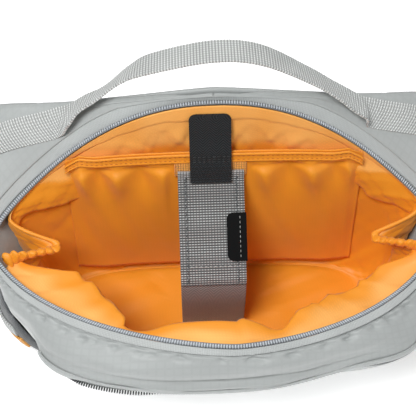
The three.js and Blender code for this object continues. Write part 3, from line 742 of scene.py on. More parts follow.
def lines_over(tree, axis, pitch, width):
    """Thin lines of value 1 over one coordinate."""
    folded = add_node(tree, "Math", {0: axis, 1: pitch * MM / 2}, operation="PINGPONG")
    return add_node(tree, "MapRange", {"Value": folded, "From Min": width * MM / 2, "From Max": width * MM,
                                       "To Min": 1.0, "To Max": 0.0})


def finish_surface(tree, shader, colour, low, value, patch, height=None, depth=0.0, strength=0.8, pale=None):
    """Gives a shader its colour and its relief.

    The colour goes from a low share of it to all of it by a value, which on the webbing and knit darkens the
    grooves as painted shade, and varies softly in patches, given as their size and share. Where the surface
    is marked, it may be paler, on the lining partly as painted light. A height from 0 to 1 bumps it.
    """
    patch_size, patch_share = patch
    place = add_node(tree, "TexCoord", give="Object")
    patches = add_node(tree, "TexNoise", {"Vector": place, "Scale": 1 / (patch_size * MM), "Detail": 3.0})
    lift = add_node(tree, "MapRange", {"Value": patches, "From Min": 0.3, "From Max": 0.7,
                                       "To Min": 1 - patch_share, "To Max": 1 + patch_share})
    mixed = {0: value, 6: darker(colour, low), 7: list(colour)}
    ground = add_node(tree, "Mix", mixed, give=2, data_type="RGBA")
    if pale is not None:
        mark = add_node(tree, "Attribute", give="Fac", attribute_name="mark")
        mixed = {0: mark, 6: ground, 7: list(pale)}
        ground = add_node(tree, "Mix", mixed, give=2, data_type="RGBA")
    mixed = {0: 1.0, 6: ground, 7: lift}
    shaded = add_node(tree, "Mix", mixed, give=2, data_type="RGBA", blend_type="MULTIPLY")
    tree.links.new(shaded, shader.inputs["Base Color"])
    if height is not None:
        bumped = add_node(tree, "Bump", {"Height": height, "Distance": depth * MM, "Strength": strength})
        tree.links.new(bumped, shader.inputs["Normal"])


def ripstop(name, colour, pitch, sheen, contrast, wrinkle, roughness=0.55, marked=0.0, by_place=False,
            pale=None):
    """Nylon ripstop: a plain weave with a grid of thicker threads, which show most where it is marked."""
    material, tree, shader = new_material(name, roughness, sheen)
    thread = min(pitch * 0.3, 1.0)
    along, across = (lines_over(tree, axis, pitch, thread) for axis in cloth_axes(tree, by_place))
    lines = add_node(tree, "Math", {0: along, 1: across}, operation="MAXIMUM")
    mark = add_node(tree, "Attribute", give="Fac", attribute_name="mark")
    share = add_node(tree, "Math", {0: mark, 1: marked, 2: contrast}, operation="MULTIPLY_ADD")
    shown = add_node(tree, "Math", {0: lines, 1: share}, operation="MULTIPLY")
    flat = add_node(tree, "Math", {0: 1.0, 1: shown}, operation="SUBTRACT")
    place = add_node(tree, "TexCoord", give="Object")
    creases = add_node(tree, "TexNoise", {"Vector": place, "Scale": 1 / (wrinkle * MM), "Detail": 2.0,
                                          "Distortion": 0.6})
    height = add_node(tree, "Math", {0: creases, 1: 3.0, 2: shown}, operation="MULTIPLY_ADD")
    finish_surface(tree, shader, colour, 0.0, flat, (50, 0.04), height, 0.22, 0.55, pale)
    return material


def woven_webbing(name, colour, rib, row, low, depth, roughness=0.85):
    """Polyester webbing: ribs across the strap and rows of thread along it, dull and a little hairy, with
    painted shade darkening the grooves between them.
    """
    material, tree, shader = new_material(name, roughness, 0.25)
    along, across = cloth_axes(tree)
    ribs, rows = wave_over(tree, along, rib), wave_over(tree, across, row)
    weave = add_node(tree, "Math", {0: ribs, 1: rows}, operation="MULTIPLY")
    height = add_node(tree, "Math", {0: ribs, 1: 0.5, 2: weave}, operation="MULTIPLY_ADD")
    finish_surface(tree, shader, colour, low, height, (30, 0.05), height, depth)
    return material


def dashed_webbing(name, colour, rib, column, low, depth):
    """Ribbed polyester webbing: light ribs across the strap, broken into dashes by columns of thread, with
    the gaps between them painted dark as shade.
    """
    material, tree, shader = new_material(name, 0.8, 0.2)
    along, across = cloth_axes(tree)
    gaps, breaks = lines_over(tree, along, rib, rib * 0.42), lines_over(tree, across, column, column * 0.4)
    broken = add_node(tree, "Math", {0: breaks, 1: 0.75}, operation="MULTIPLY")
    dark = add_node(tree, "Math", {0: gaps, 1: broken}, operation="MAXIMUM")
    light = add_node(tree, "Math", {0: 1.0, 1: dark}, operation="SUBTRACT")
    finish_surface(tree, shader, colour, low, light, (30, 0.05), light, depth)
    return material


def herringbone(name, colour, rib, column, low):
    """Polyester webbing in a herringbone twill: slanted ribs that turn back at each column, dull, and darker
    between the ribs as painted shade.
    """
    material, tree, shader = new_material(name, 0.85, 0.05, 1.35)
    along, across = cloth_axes(tree)
    turned = add_node(tree, "Math", {0: across, 1: column * MM}, operation="PINGPONG")
    slant = add_node(tree, "Math", {0: along, 1: turned}, operation="ADD")
    ribs = wave_over(tree, slant, rib)
    finish_surface(tree, shader, colour, low, ribs, (30, 0.05), ribs, 0.3)
    return material


def moulded(name, colour, roughness, grit, ior=1.53):
    """Moulded or drawn plastic: even colour, a soft shine and a fine grit."""
    material, tree, shader = new_material(name, roughness, 0.0, ior)
    place = add_node(tree, "TexCoord", give="Object")
    grains = add_node(tree, "TexNoise", {"Vector": place, "Scale": 1 / (grit * MM), "Detail": 2.0})
    finish_surface(tree, shader, colour, 0.85, grains, (20, 0.04), grains, grit * 0.2, 0.35)
    return material


def knitted(name, colour, loop):
    """Stretch knit: small loops in rows and columns, dull and soft, and darker between the loops as painted
    shade.
    """
    material, tree, shader = new_material(name, 0.9, 0.35)
    along, across = cloth_axes(tree)
    rows, columns = wave_over(tree, along, loop), wave_over(tree, across, loop * 1.4)
    loops = add_node(tree, "Math", {0: rows, 1: columns}, operation="MAXIMUM")
    finish_surface(tree, shader, colour, 0.55, loops, (20, 0.08), loops, 0.3, 0.7)
    return material


def spun_thread(name, colour):
    """Spun polyester sewing thread: dull, with a faint twist."""
    material, tree, shader = new_material(name, 0.75, 0.2)
    place = add_node(tree, "TexCoord", give="Object")
    twist = add_node(tree, "TexNoise", {"Vector": place, "Scale": 1 / (0.6 * MM), "Detail": 1.0})
    finish_surface(tree, shader, colour, 0.8, twist, (20, 0.05))
    return material


# How each material is made, from the colours c of the scene
MAKERS = {
    # Light grey nylon of the outside: a soft sheen and a faint wide grid
    "shell": lambda c: ripstop("shell_nylon", c.shell, size_of("ripstop_pitch") * 2.6, 0.25, 0.035, 30),
    "pad": lambda c: ripstop("pad_nylon", c.shell, size_of("ripstop_pitch") * 2.6, 0.25, 0.025, 30,
                             by_place=True),
    # Orange coated nylon of the inside: a little glossier, with a pale strip and a clear grid along the zip,
    # and its pale colour also spread as painted light over the rear wall and the front fold
    "lining": lambda c: ripstop("lining_nylon", c.lining, size_of("ripstop_pitch"), 0.1, 0.02, 20,
                                roughness=0.52, marked=0.22, pale=c.facing),
    # Polyester zip tape: thin, almost smooth and a little lighter than the cloth
    "tape": lambda c: woven_webbing("zip_tape", c.tape, rib=1.1, row=1.1, low=0.82, depth=0.2, roughness=0.8),
    # Drawn nylon zip coils: small highlights on each turn, on a core darkened as painted shade between the
    # turns
    "coil": lambda c: moulded("zip_coil", c.coil, roughness=0.35, grit=0.4),
    # The core's dark colour is painted shade between the turns of the coil
    "core": lambda c: moulded("zip_core_painted_shade", darker(c.coil, 0.35), roughness=0.6, grit=0.4),
    "dark_coil": lambda c: moulded("dark_zip_coil", darker(c.black, 0.6), roughness=0.4, grit=0.4),
    # Woven webbing of the handle, the tabs and the belt: ribs with small shadows painted into the grooves
    # between them
    "webbing": lambda c: woven_webbing("grey_webbing", c.webbing, rib=2.1, row=2.1, low=0.42, depth=0.5),
    "orange": lambda c: woven_webbing("orange_webbing", c.orange, rib=1.9, row=1.9, low=0.62, depth=0.5),
    "belt": lambda c: woven_webbing("belt_webbing", c.belt, rib=1.6, row=1.4, low=0.6, depth=0.4),
    # Webbing of the holding strap: bright dashes on a ground painted dark as shade, and a darker twill under
    # it
    "strap": lambda c: dashed_webbing("strap_webbing", c.strap, size_of("rib_pitch"), column=2, low=0.1,
                                      depth=0.4),
    "layer": lambda c: herringbone("strap_layer", darker(c.strap, 0.6), rib=2.2, column=4.5, low=0.3),
    # Black twill webbing of the hanging tab, and a matt coated patch with hardly any shine
    "black": lambda c: herringbone("black_webbing", c.black, rib=1.9, column=4.5, low=0.2),
    "patch": lambda c: moulded("black_patch", c.patch, roughness=0.85, grit=0.8, ior=1.2),
    # Dark stretch knit of the side pockets, and moulded acetal of the buckle with a soft shine
    "stretch": lambda c: knitted("stretch_knit", c.stretch, loop=1.6),
    "buckle": lambda c: moulded("buckle_acetal", c.buckle, roughness=0.45, grit=0.5),
    # Sewing threads, which stand out a little from what they are sewn on
    "light_thread": lambda c: spun_thread("light_thread", c.light_thread),
    "dark_thread": lambda c: spun_thread("dark_thread", c.dark_thread),
    "black_thread": lambda c: spun_thread("black_thread", darker(c.black, 0.7)),
    "orange_thread": lambda c: spun_thread("orange_thread", c.orange_thread),
}
MADE = {}


def material_of(key):
    """A material of the pack, made the first time that it is asked for."""
    if key not in MADE:
        MADE[key] = MAKERS[key](bpy.context.scene.hip_pack_colours)
    return MADE[key]


# Pieces


class MakeShell(bpy.types.Operator):
    """Makes the grey shell, with its sewn edge under the front zip tape"""

    bl_idname = "hip_pack.make_shell"
    bl_label = "Shell"

    FRONT_HALF_TURN = 88
    FRONT_FADE = 10
    HEM_LEVEL = 1 - TAPE_DROP - 0.012
    # Creases of the front: level, spread up and down, depth, turn and spread along
    CREASES = ((0.7, 0.03, -3.6, 184, 44), (0.645, 0.025, 1.4, 176, 46), (0.8, 0.04, 1.6, 205, 26),
               (0.77, 0.03, -1.6, 158, 20))

    def execute(self, context):
        levels = np.concatenate([(-1, -0.5, -0.08), np.linspace(0, 0.12, 8), np.linspace(0.15, 0.84, 34),
                                 np.linspace(0.85, 0.92, 14), np.linspace(0.9225, 0.955, 14),
                                 (0.97, 0.985, 1)])
        turns = np.concatenate([np.linspace(0, 88, 45)[:-1], np.linspace(88, 272, 231),
                                np.linspace(272, 360, 45)[1:]])
        piece = grid_piece("shell", self.cloth, turns, levels, SHELL_WALL, True, True)
        finish_piece(piece, "shell", "shell_cloth", "body_shell")
        return {"FINISHED"}

    def cloth(self, turn, level):
        """The shell with the hem, puckers and soft creases of its front."""
        turn, level = pair(turn, level)
        front = ease((self.FRONT_HALF_TURN - np.abs(turn - 180)) / self.FRONT_FADE)
        under = self.HEM_LEVEL - level
        wave = ripple(turn, 6.5, 1.3)
        fading = np.exp(-np.clip(under, 0, 1) / 0.05)
        hem = ease(under / 0.02 + 0.4 * wave) * (size_of("hem_height") + 0.7 * wave) * fading
        groove = -0.5 * bump(under + 0.006, 0.012)
        dents = np.clip(0.25 + 1.3 * ripple(turn, 7.5, 2.9) + 0.5 * ripple(turn, 19, 0.4), 0, 1)
        puckers = -size_of("pucker_depth") * dents * bump(under - 0.03 - 0.01 * wave, 0.018)
        soft = 1.6 * ripple(turn, 37, 2.2) * ripple(level + turn / 260, 0.31, 0.7)
        bend = 0.02 * ripple(turn, 60, 0.8)
        for middle, tall, depth, turn_middle, spread in self.CREASES:
            soft = soft + depth * bump(level - middle - bend, tall) * bump(turn - turn_middle, spread)
        soft = soft * ease(level / 0.2) * ease((0.93 - level) / 0.1)
        return body_offset(turn, level, front * (hem + groove + puckers + soft))


class MakeLining(bpy.types.Operator):
    """Makes the loose orange lining and the gathered edge at each end of it"""

    bl_idname = "hip_pack.make_lining"
    bl_label = "Lining"

    # Levels of the strip along the zip, of the fold below it in front and of the sleeve's edge behind.
    # The pale colour reaches down to them, and below the strip it is painted light
    FACING = 0.945
    FOLD = 0.925
    SLEEVE_EDGE = 0.8
    # Step at the strip's edge, how softly its pale colour ends beside and in front, and the floor's rise
    FACING_STEP = 0.9
    FACING_SOFT = 0.02
    FOLD_SLOPE = 0.025
    FLOOR_RISE = 0.9
    # Notches and drapes as turn, spread and depth, and pleats as turn and the way they face
    NOTCHES = ((206, 4, -7), (164, 4.5, -6), (222, 6, 2.5), (150, 6, -3), (129, 6, -4))
    PLEATS = ((252, -1), (241, -1), (211, 1), (177, -1), (149, 1), (138, 1), (121, 1))
    DRAPES = ((303, 17, 9), (57, 17, 8))
    PLEAT_DEPTH = 3.2
    # How far creases may go out towards the shell, and the tube of the gathered edge
    ROOM_OUTWARDS = 0.9
    EDGE_ROWS = 200
    EDGE_RISE = 2.4

    def execute(self, context):
        turns = np.linspace(0, 360, 361)
        levels = np.concatenate([np.linspace(-1, -0.06, 15), np.linspace(0, 0.1, 5),
                                 np.linspace(0.13, 0.6, 22), np.linspace(0.615, 1, 52), (1.01, 1.02, 1.03)])
        # The mark gives the paler strip along the zip, and pale painted light over the rear wall and the
        # front fold
        piece = grid_piece("lining_bag", self.cloth, turns, levels, LINING_WALL, True, True,
                           mark=self.paleness_and_painted_light)
        finish_piece(piece, "lining", "lining_cloth", "lining")
        edges = [self.gathered_edge(hand, end) for hand, end in (("right", 90), ("left", 270))]
        return {"FINISHED"}

    def facing(self, turn, level):
        """1 on the strip of cloth that is sewn to the zip, and 0 below it."""
        edge = self.FACING + 0.006 * ripple(turn, 23, 1.9)
        return ease((level - edge) / 0.006)

    def paleness_and_painted_light(self, turn, level):
        """How pale the lining is: the paler strip along the zip, and pale painted light down to the fold in
        front and over the rear wall to the sleeve behind.
        """
        front = ease((78 - np.abs(turn - 180)) / 8)
        rear = ease((np.abs(turn - 180) - 116) / 10)
        low = self.FACING - (self.FACING - self.FOLD) * front - (self.FACING - self.SLEEVE_EDGE) * rear
        low = low + 0.012 * ripple(turn, 37, 2.3) * front
        soft = self.FACING_SOFT + (self.FOLD_SLOPE - self.FACING_SOFT) * front + 0.03 * rear
        return ease((level - low) / soft) * (0.8 + 0.2 * ripple(turn, 31, 0.9))

    def cloth(self, turn, level):
        """The lining with its facing, notches, pleats, drapes and soft creases."""
        turn, level = pair(turn, level)
        level = np.where(level > 1, 1 + (level - 1) * ease((end_distance(turn) - 12) / 8), level)
        lifted = np.clip(level, 0, 1)
        front, fallen = front_share(turn), fall_share(lifted, FALL_TOP)
        more = self.FACING_STEP * self.facing(turn, lifted) * (1 - front)
        more = more - self.FACING_STEP * bump(lifted - self.FACING, 0.008) * front
        for middle, spread, depth in self.NOTCHES:
            more = more + depth * bump(turn - middle, spread) * fallen
        in_facing = ease((1 - lifted) / 0.03) * ease((lifted - 0.8) / 0.1)
        for middle, way in self.PLEATS:
            past = (turn - middle) * way
            pleat = ease(past / 1.2 + 0.5) * np.exp(-np.clip(past, 0, None) / 5)
            more = more + self.PLEAT_DEPTH * pleat * in_facing
        hang = ease((0.96 - lifted) / 0.2) * ease((lifted - 0.66 - 0.05 * ripple(turn, 40, 0.5)) / 0.05)
        for middle, spread, depth in self.DRAPES:
            more = more + depth * bump(turn - middle, spread) * hang
        line = 0.905 + 0.025 * ripple(turn, 83, 2.0)
        crest = ripple(turn, 34, 3.1) * fallen * front
        crest = crest + (1.6 * bump(lifted - line, 0.012) - 1.2 * bump(lifted - line - 0.03, 0.014)) * front
        soft = self.wall_creases(turn, lifted, 1 - 0.7 * front * fallen)
        more = np.maximum(more + crest + soft, -self.ROOM_OUTWARDS)
        lower = 0.6 * ripple(turn, 23, 1.4) * fallen * front
        spot = lining(turn, level, np.where(level > 0, more, 0), lower)
        return spot + spots(0, 0, self.floor_creases(spot, level))

    @staticmethod
    def wall_creases(turn, lifted, calm):
        """How far the walls stand in soft creases, the short ones calmer where the front has fallen."""
        whole = ease(np.minimum(turn, 360 - turn) / 8)
        walls = ease(lifted / 0.12) * ease((0.93 - lifted) / 0.1) * whole
        short = (1.2 * ripple(turn - 60 * lifted, 13, 2.7) + 0.7 * ripple(turn + 80 * lifted, 9, 4.2)) * calm
        return (2.0 * ripple(turn + 30 * lifted, 29, 0.6) + short) * walls

    def floor_creases(self, spot, level):
        """How far the loose floor stands up in soft creases, away from the strap and the walls."""
        across, deep = spot[..., 0], spot[..., 1]
        free = ease((np.abs(across) - 30) / 14) * ease(-level / 0.25)
        waves = 1 + ripple(across + 0.6 * deep, 46, 1.1) + 0.8 * ripple(0.4 * across - deep, 27, 2.2)
        return self.FLOOR_RISE * np.clip(waves, 0, 2) * free

    def gathered_edge(self, hand, end):
        """A tube along the lining's edge at one end of the mouth, gathered in front and rolled behind."""
        turns = np.linspace(end - ELASTIC_HALF_TURN, end + ELASTIC_HALF_TURN, self.EDGE_ROWS)
        edge = lining(turns, 1)
        up = unit(edge - lining(turns, 0.96))
        way = unit(np.gradient(edge, axis=0))
        up = unit(up - way * np.sum(up * way, axis=1, keepdims=True))
        side = np.cross(way, up)
        middle = edge + up * self.EDGE_RISE
        run = run_of(middle)
        before = np.abs(turns - 180)
        gathered = ease((before.mean() - before) / 6 + 0.5)
        swing = np.pi * run / 5.4 + 0.7 * np.sin(run / 6.1)

        def surface(row, around):
            row, around = at_rows(row, around)
            gather = 0.8 + 0.5 * np.abs(np.sin(swing[row])) ** 0.6
            gather = gather + 0.08 * np.sin(4 * around + 1.3 * run[row])
            plain = 0.62 + 0.05 * np.sin(run[row] / 3)
            size = plain + (gather - plain) * gathered[row]
            tall, thick = (2.2 + 2.6 * gathered[row]) * size, 2.2 * size
            return (middle[row] + up[row] * (tall * np.cos(around))[..., None]
                    + side[row] * (thick * np.sin(around))[..., None])

        around = np.linspace(0, 2 * np.pi, 17)
        piece = grid_piece(f"gathered_edge_{hand}", surface, np.arange(self.EDGE_ROWS), around, wraps=True)
        return finish_piece(piece, "lining", "orange_webbing", f"gusset_elastic_{hand}")


class MakePadding(bpy.types.Operator):
    """Makes the padded back panel and the two padded wings, blown up as cloth under pressure"""

    bl_idname = "hip_pack.make_padding"
    bl_label = "Padding"

    # How much thinner each face starts, the pressure in the pad and how far a point may then move
    SHRINK = 0.9
    PRESSURE = 4
    CAP = 1.8
    LAST_FRAME = 20
    SEAM_CREASE = 0.8
    WING_GAP = 0.1

    def execute(self, context):
        joint = WING_START + self.WING_GAP
        parts = (("padded_back", "back_panel", -WING_START, WING_START, 60),
                 ("padded_wing_left", "wing_left", -WING_TIP, -joint, 36),
                 ("padded_wing_right", "wing_right", joint, WING_TIP, 36))
        for name, node, start, end, count in parts:
            piece, seam = self.pad(name, np.linspace(start, end, count + 1), np.linspace(0, 1, 41))
            self.blow_up(context.scene, piece, seam)
            finish_piece(piece, "pad", "shell_cloth", node)
        return {"FINISHED"}

    def pad(self, name, acrosses, shares):
        """A closed pad of two faces sewn together round their edge, a little thinner than its room,
        and the points of that edge."""
        shape = bmesh.new()
        creases = shape.edges.layers.float.new("crease_edge")
        lay_grid(shape, back_face(1, -self.SHRINK), acrosses, shares, flip=True)
        lay_grid(shape, back_face(-1, -self.SHRINK), acrosses, shares)
        open_edges = [edge for edge in shape.edges if edge.is_boundary]
        for edge in open_edges:
            edge[creases] = self.SEAM_CREASE
        shape.verts.index_update()
        seam = sorted({vert.index for edge in open_edges for vert in edge.verts})
        bmesh.ops.bridge_loops(shape, edges=open_edges)
        bmesh.ops.recalc_face_normals(shape, faces=shape.faces[:])
        return to_piece(name, shape), seam

    def blow_up(self, scene, piece, seam):
        """Lets the pad swell as cloth that is held at its seam, keeps every point near where it began
        and smooths the result. The pad's own grid is already even, so it needs no remesh."""
        piece.vertex_groups.new(name="seam").add(seam, 1.0, "REPLACE")
        before = self.points(piece.data)
        cloth = piece.modifiers.new("cloth", "CLOTH")
        cloth.settings.vertex_group_mass = "seam"
        cloth.settings.use_pressure = True
        cloth.settings.uniform_pressure_force = self.PRESSURE
        cloth.settings.effector_weights.gravity = 0
        cloth.point_cache.frame_end = self.LAST_FRAME
        for number in range(1, self.LAST_FRAME + 1):
            scene.frame_set(number)
        moved = self.points(piece.evaluated_get(bpy.context.evaluated_depsgraph_get()).data) - before
        piece.modifiers.clear()
        scene.frame_set(1)
        far = np.linalg.norm(moved, axis=1, keepdims=True)
        after = before + moved * np.minimum(1, self.CAP * MM / np.maximum(far, 1e-9))
        after[:, 2] = np.maximum(after[:, 2], PADDED_LOWEST * MM)
        piece.data.vertices.foreach_set("co", after.ravel())
        piece.data.update()
        rounder = piece.modifiers.new("round", "SUBSURF")
        rounder.levels = rounder.render_levels = 1

    @staticmethod
    def points(mesh):
        """The points of a mesh as an array."""
        places = np.empty(len(mesh.vertices) * 3)
        mesh.vertices.foreach_get("co", places)
        return places.reshape(-1, 3)


class MakeShoulders(bpy.types.Operator):
    """Makes the cloth between the rear zip and the top of the panel, with its hem over the tape"""

    bl_idname = "hip_pack.make_shoulders"
    bl_label = "Shoulders"

    # Folded hem over the tape: places along the cloth and shares of the hem's height, one for each row
    HEM_ALONG = (10.5, 8.8, 7.6, 7.2, 7.6, 8.8, 11.2)
    HEM_LIFT = (0.45, 0.45, 0.55, 0.85, 1.15, 1.2, 1.0)
    HEM_LAST = len(HEM_ALONG) - 1
    LAST_ROW = 40
    WALL = 0.6 * SHELL_WALL
    # Lap onto the panel, which fades out at the middle, where both sides meet
    LAP = 4
    LAP_DROP = 0.6
    LAP_FADE = 0.15
    MEETING = 0.3

    def execute(self, context):
        first = (self.MEETING - SHOULDER_START) / (SHOULDER_END - SHOULDER_START)
        rows = np.concatenate([np.linspace(0, self.HEM_LAST, 3 * len(self.HEM_ALONG)),
                               np.linspace(self.HEM_LAST, self.LAST_ROW, 36)[1:],
                               self.LAST_ROW + np.array((0.4, 0.7, 1))])
        for name, hand in (("left", -1), ("right", 1)):
            piece = grid_piece(f"shoulder_cloth_{name}", self.cloth(hand), np.linspace(first, 1, 129), rows,
                               self.WALL, flip=hand < 0)
            finish_piece(piece, "shell", "shell_cloth", f"shoulder_{name}")
        return {"FINISHED"}

    def cloth(self, hand):
        """One shoulder, from its share along and its row from the hem to the panel."""
        def surface(share, row):
            share, row = pair(share, row)
            length = shoulder_length(hand, share)
            scale = shoulder_scale(length)
            in_hem = np.minimum(row, self.HEM_LAST)
            beyond = np.clip((row - self.HEM_LAST) / (self.LAST_ROW - self.HEM_LAST), 0, 1)
            start = smooth(self.HEM_ALONG, in_hem) * scale / length
            rise = start + (1 - start) * beyond
            settled = 1 - 0.7 * ease(beyond * 1.6)
            lift = smooth(self.HEM_LIFT, in_hem) * size_of("hem_height") * scale * settled
            lap = np.clip(row - self.LAST_ROW, 0, 1) * ease(share / self.LAP_FADE)
            spot = shoulder(hand)(share, rise) + shoulder_out(hand, share, rise) * (GAP + lift)[..., None]
            return spot + spots(0, self.LAP * lap, -self.LAP_DROP * lap)
        return surface


class MakeZips(bpy.types.Operator):
    """Makes the tapes, coils and sliders of the main zip"""

    bl_idname = "hip_pack.make_zips"
    bl_label = "Main zip"

    # Turns and core of the coil, and the slider with its pull, whose tilt is in radians
    TURN_SIZE = (1.35, COIL_WIDTH + 0.4, 1.7)
    TURN_LIFT = 0.9
    CORE_HALF = 1.7
    CORE_LIFT = 0.45
    CORE_WALL = 0.5
    SLIDER_ROUND = 1.2
    PULL_SIZE = (1.6, 5, 15)
    PULL_OUT = 5.5
    PULL_DROP = 6
    PULL_TILT = 0.5
    PULL_ROUND = 0.7

    def execute(self, context):
        self.rear_tape()
        self.front_tape()
        self.coil("rear", np.linspace(-REAR_ZIP_TURN, REAR_ZIP_TURN, 700))
        self.coil("front", np.linspace(180 - FRONT_ZIP_TURN, 180 + FRONT_ZIP_TURN, 700))
        for name, hand in (("right", 1), ("left", -1)):
            self.slider(name, hand)
        return {"FINISHED"}

    @staticmethod
    def rear_tape():
        """The tape that lies under the hem of the shoulders."""
        def surface(turn, across):
            turn, across = pair(turn, across)
            share = np.clip((np.abs(turn) - SHOULDER_FIRST_TURN) / SHOULDER_TURNS, 0, 1)
            sides = []
            for hand in (-1, 1):
                length = shoulder_length(hand, share)
                rise = across * (TAPE_WIDTH + 1) * shoulder_scale(length) / length
                sides.append(shoulder(hand)(share, rise) + shoulder_out(hand, share, rise) * GAP)
            spot = np.where((turn < 0)[..., None], sides[0], sides[1])
            near = np.abs(turn) < SHOULDER_FIRST_TURN
            spot[..., 0] = np.where(near, spot[..., 0] * np.abs(turn) / SHOULDER_FIRST_TURN, spot[..., 0])
            return spot

        turns = np.linspace(-REAR_ZIP_TURN, REAR_ZIP_TURN, 241)
        piece = grid_piece("rear_tape", surface, turns, np.linspace(-0.12, 1, 9), TAPE_WALL, flip=True)
        finish_piece(piece, "tape", "zip_tape", "zip_tape_rear")

    @staticmethod
    def front_tape():
        """The tape whose outer edge lies under the hem of the shell."""
        def surface(turn, level):
            return body_offset(turn, level, GAP + TAPE_WALL)

        turns = np.linspace(180 - FRONT_ZIP_TURN, 180 + FRONT_ZIP_TURN, 241)
        levels = np.linspace(1 - TAPE_DROP - 0.004, 1.004, 9)
        piece = grid_piece("front_tape", surface, turns, levels, TAPE_WALL, flip=True)
        finish_piece(piece, "tape", "zip_tape", "zip_tape_front")

    def coil(self, name, turns):
        """The turns of one half of the coil, on a darker core that is painted shade between them. In front it
        carries on where the tape ends.
        """
        out = body_out(turns, 1)
        up = unit(body(turns, 1) - body(turns, 0.99))
        if name == "front":
            wide, thick = up, out
            middle = body_offset(turns, 1, -0.5) + up * (COIL_WIDTH / 2 + 0.2)
        else:
            wide, thick = out, up
            middle = body_offset(turns, 1, -COIL_INSET) + up * (2 * GAP)
        rows = even_places(middle, size_of("tooth_pitch"))
        along = unit(pick(np.gradient(middle, axis=0), rows))
        side = unit(pick(wide, rows))
        raised = unit(np.cross(along, side))
        raised = raised * np.sign(np.sum(raised * pick(thick, rows), axis=1, keepdims=True))
        places = pick(middle, rows) + raised * self.TURN_LIFT
        piece = strew(f"coil_{name}", places, (along, side, raised), self.TURN_SIZE)
        finish_piece(piece, "coil", "zip_coil", f"zip_coil_{name}")
        # The core's dark colour is painted shade between the turns of the coil
        across = np.linspace(-self.CORE_HALF, self.CORE_HALF, 4)
        core = grid_piece(f"coil_core_{name}", ribbon(middle, wide, thick, 1, self.CORE_LIFT),
                          np.arange(0, len(turns), 3), across, self.CORE_WALL)
        finish_piece(core, "core", "zip_coil")

    def slider(self, name, hand):
        """The slider at one end of the mouth, with its hanging pull."""
        low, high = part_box(f"zip_slider_{name}")
        middle = (low + high) / 2
        shape = bmesh.new()
        add_box(shape, Matrix.Translation(middle), high - low, self.SLIDER_ROUND, 3)
        hung = Matrix.Translation(middle + Vector((hand * self.PULL_OUT, 0, -self.PULL_DROP)) * MM)
        tilt = Matrix.Rotation(-hand * self.PULL_TILT, 4, "Y")
        add_box(shape, hung @ tilt, Vector(self.PULL_SIZE) * MM, self.PULL_ROUND, 2)
        finish_piece(to_piece(f"slider_{name}", shape), "coil", "zip_coil", f"zip_slider_{name}")


class MakeSleeve(bpy.types.Operator):
    """Makes the flat pocket on the back wall, its bound edge and its two rows of stitches"""

    bl_idname = "hip_pack.make_sleeve"
    bl_label = "Sleeve"

    RECESS = 3.8
    # Gathers as place across, spread and depth
    GATHERS = ((-90, 5, 4.5), (-79, 5, -3), (-66, 6, 5.5), (-50, 6, -3.5), (-34, 6, 4.5), (35, 6, 3.5),
               (51, 6, -3), (67, 6, 5), (82, 5, -3), (93, 5, 4))
    BINDING_WALL = 0.9
    STITCH_SHARES = (0.3, 0.68)

    def execute(self, context):
        across = np.linspace(-SLEEVE_HALF, SLEEVE_HALF, 209)
        shares = np.concatenate([np.linspace(0, 0.6, 25)[:-1], np.linspace(0.6, 1, 61)])
        piece = grid_piece("sleeve", self.cloth, across, shares, LINING_WALL)
        finish_piece(piece, "lining", "lining_cloth", "inner_sleeve")
        edge = self.binding(across)
        return {"FINISHED"}

    def cloth(self, across, share):
        """The sleeve with its gathers, and a recess under its bound edge."""
        across, share = pair(across, share)
        below = ease((0.93 - share) / 0.06) * ease(share / 0.4)
        clear = ease((np.abs(across - INNER_CENTRE) - 25) / 8) * ease((SLEEVE_HALF - np.abs(across)) / 10)
        slant = across + 16 * (share - 0.85)
        gather = sum(depth * bump(slant - middle, spread) for middle, spread, depth in self.GATHERS)
        gather = gather * bump(share - 0.84, 0.13) + 1.2 * ripple(across + 40 * share, 41, 2.4)
        recess = self.RECESS * bump(share - 0.895, 0.022) * (0.6 + 0.4 * ripple(across, 33, 1.1))
        sides = 1.5 * ease((np.abs(across) - SLEEVE_HALF + 8) / 8)
        return sleeve(LINING_WALL)(across, share) - spots(0, (gather - recess) * below * clear - sides, 0)

    def binding(self, across):
        """The folded strip over the sleeve's edge, with a thick lip above and below."""
        front = sleeve(LINING_WALL + GAP)

        def surface(place, share):
            place, share = pair(place, share)
            foot = 1 - BINDING_HEIGHT / (sleeve_top(place) - SLEEVE_LOW)
            spot = front(place, foot + (1 - foot) * share)
            lips = 0.9 * bump(share - 0.86, 0.1) + 0.7 * bump(share - 0.14, 0.1)
            return spot - spots(0, 1.0 + lips + 0.12 * ripple(place, 5, 1.1), 0)

        piece = grid_piece("sleeve_edge", surface, across, np.linspace(0, 1, 17), self.BINDING_WALL)
        finish_piece(piece, "lining", "lining_cloth", "sleeve_binding")
        ups = np.tile((0.0, -1.0, 0.0), (len(across), 1))
        lines = [(surface(across, share) + ups * 0.15, ups) for share in self.STITCH_SHARES]
        sew("sleeve_stitches", lines, "orange_thread", "lining_cloth")
        return piece


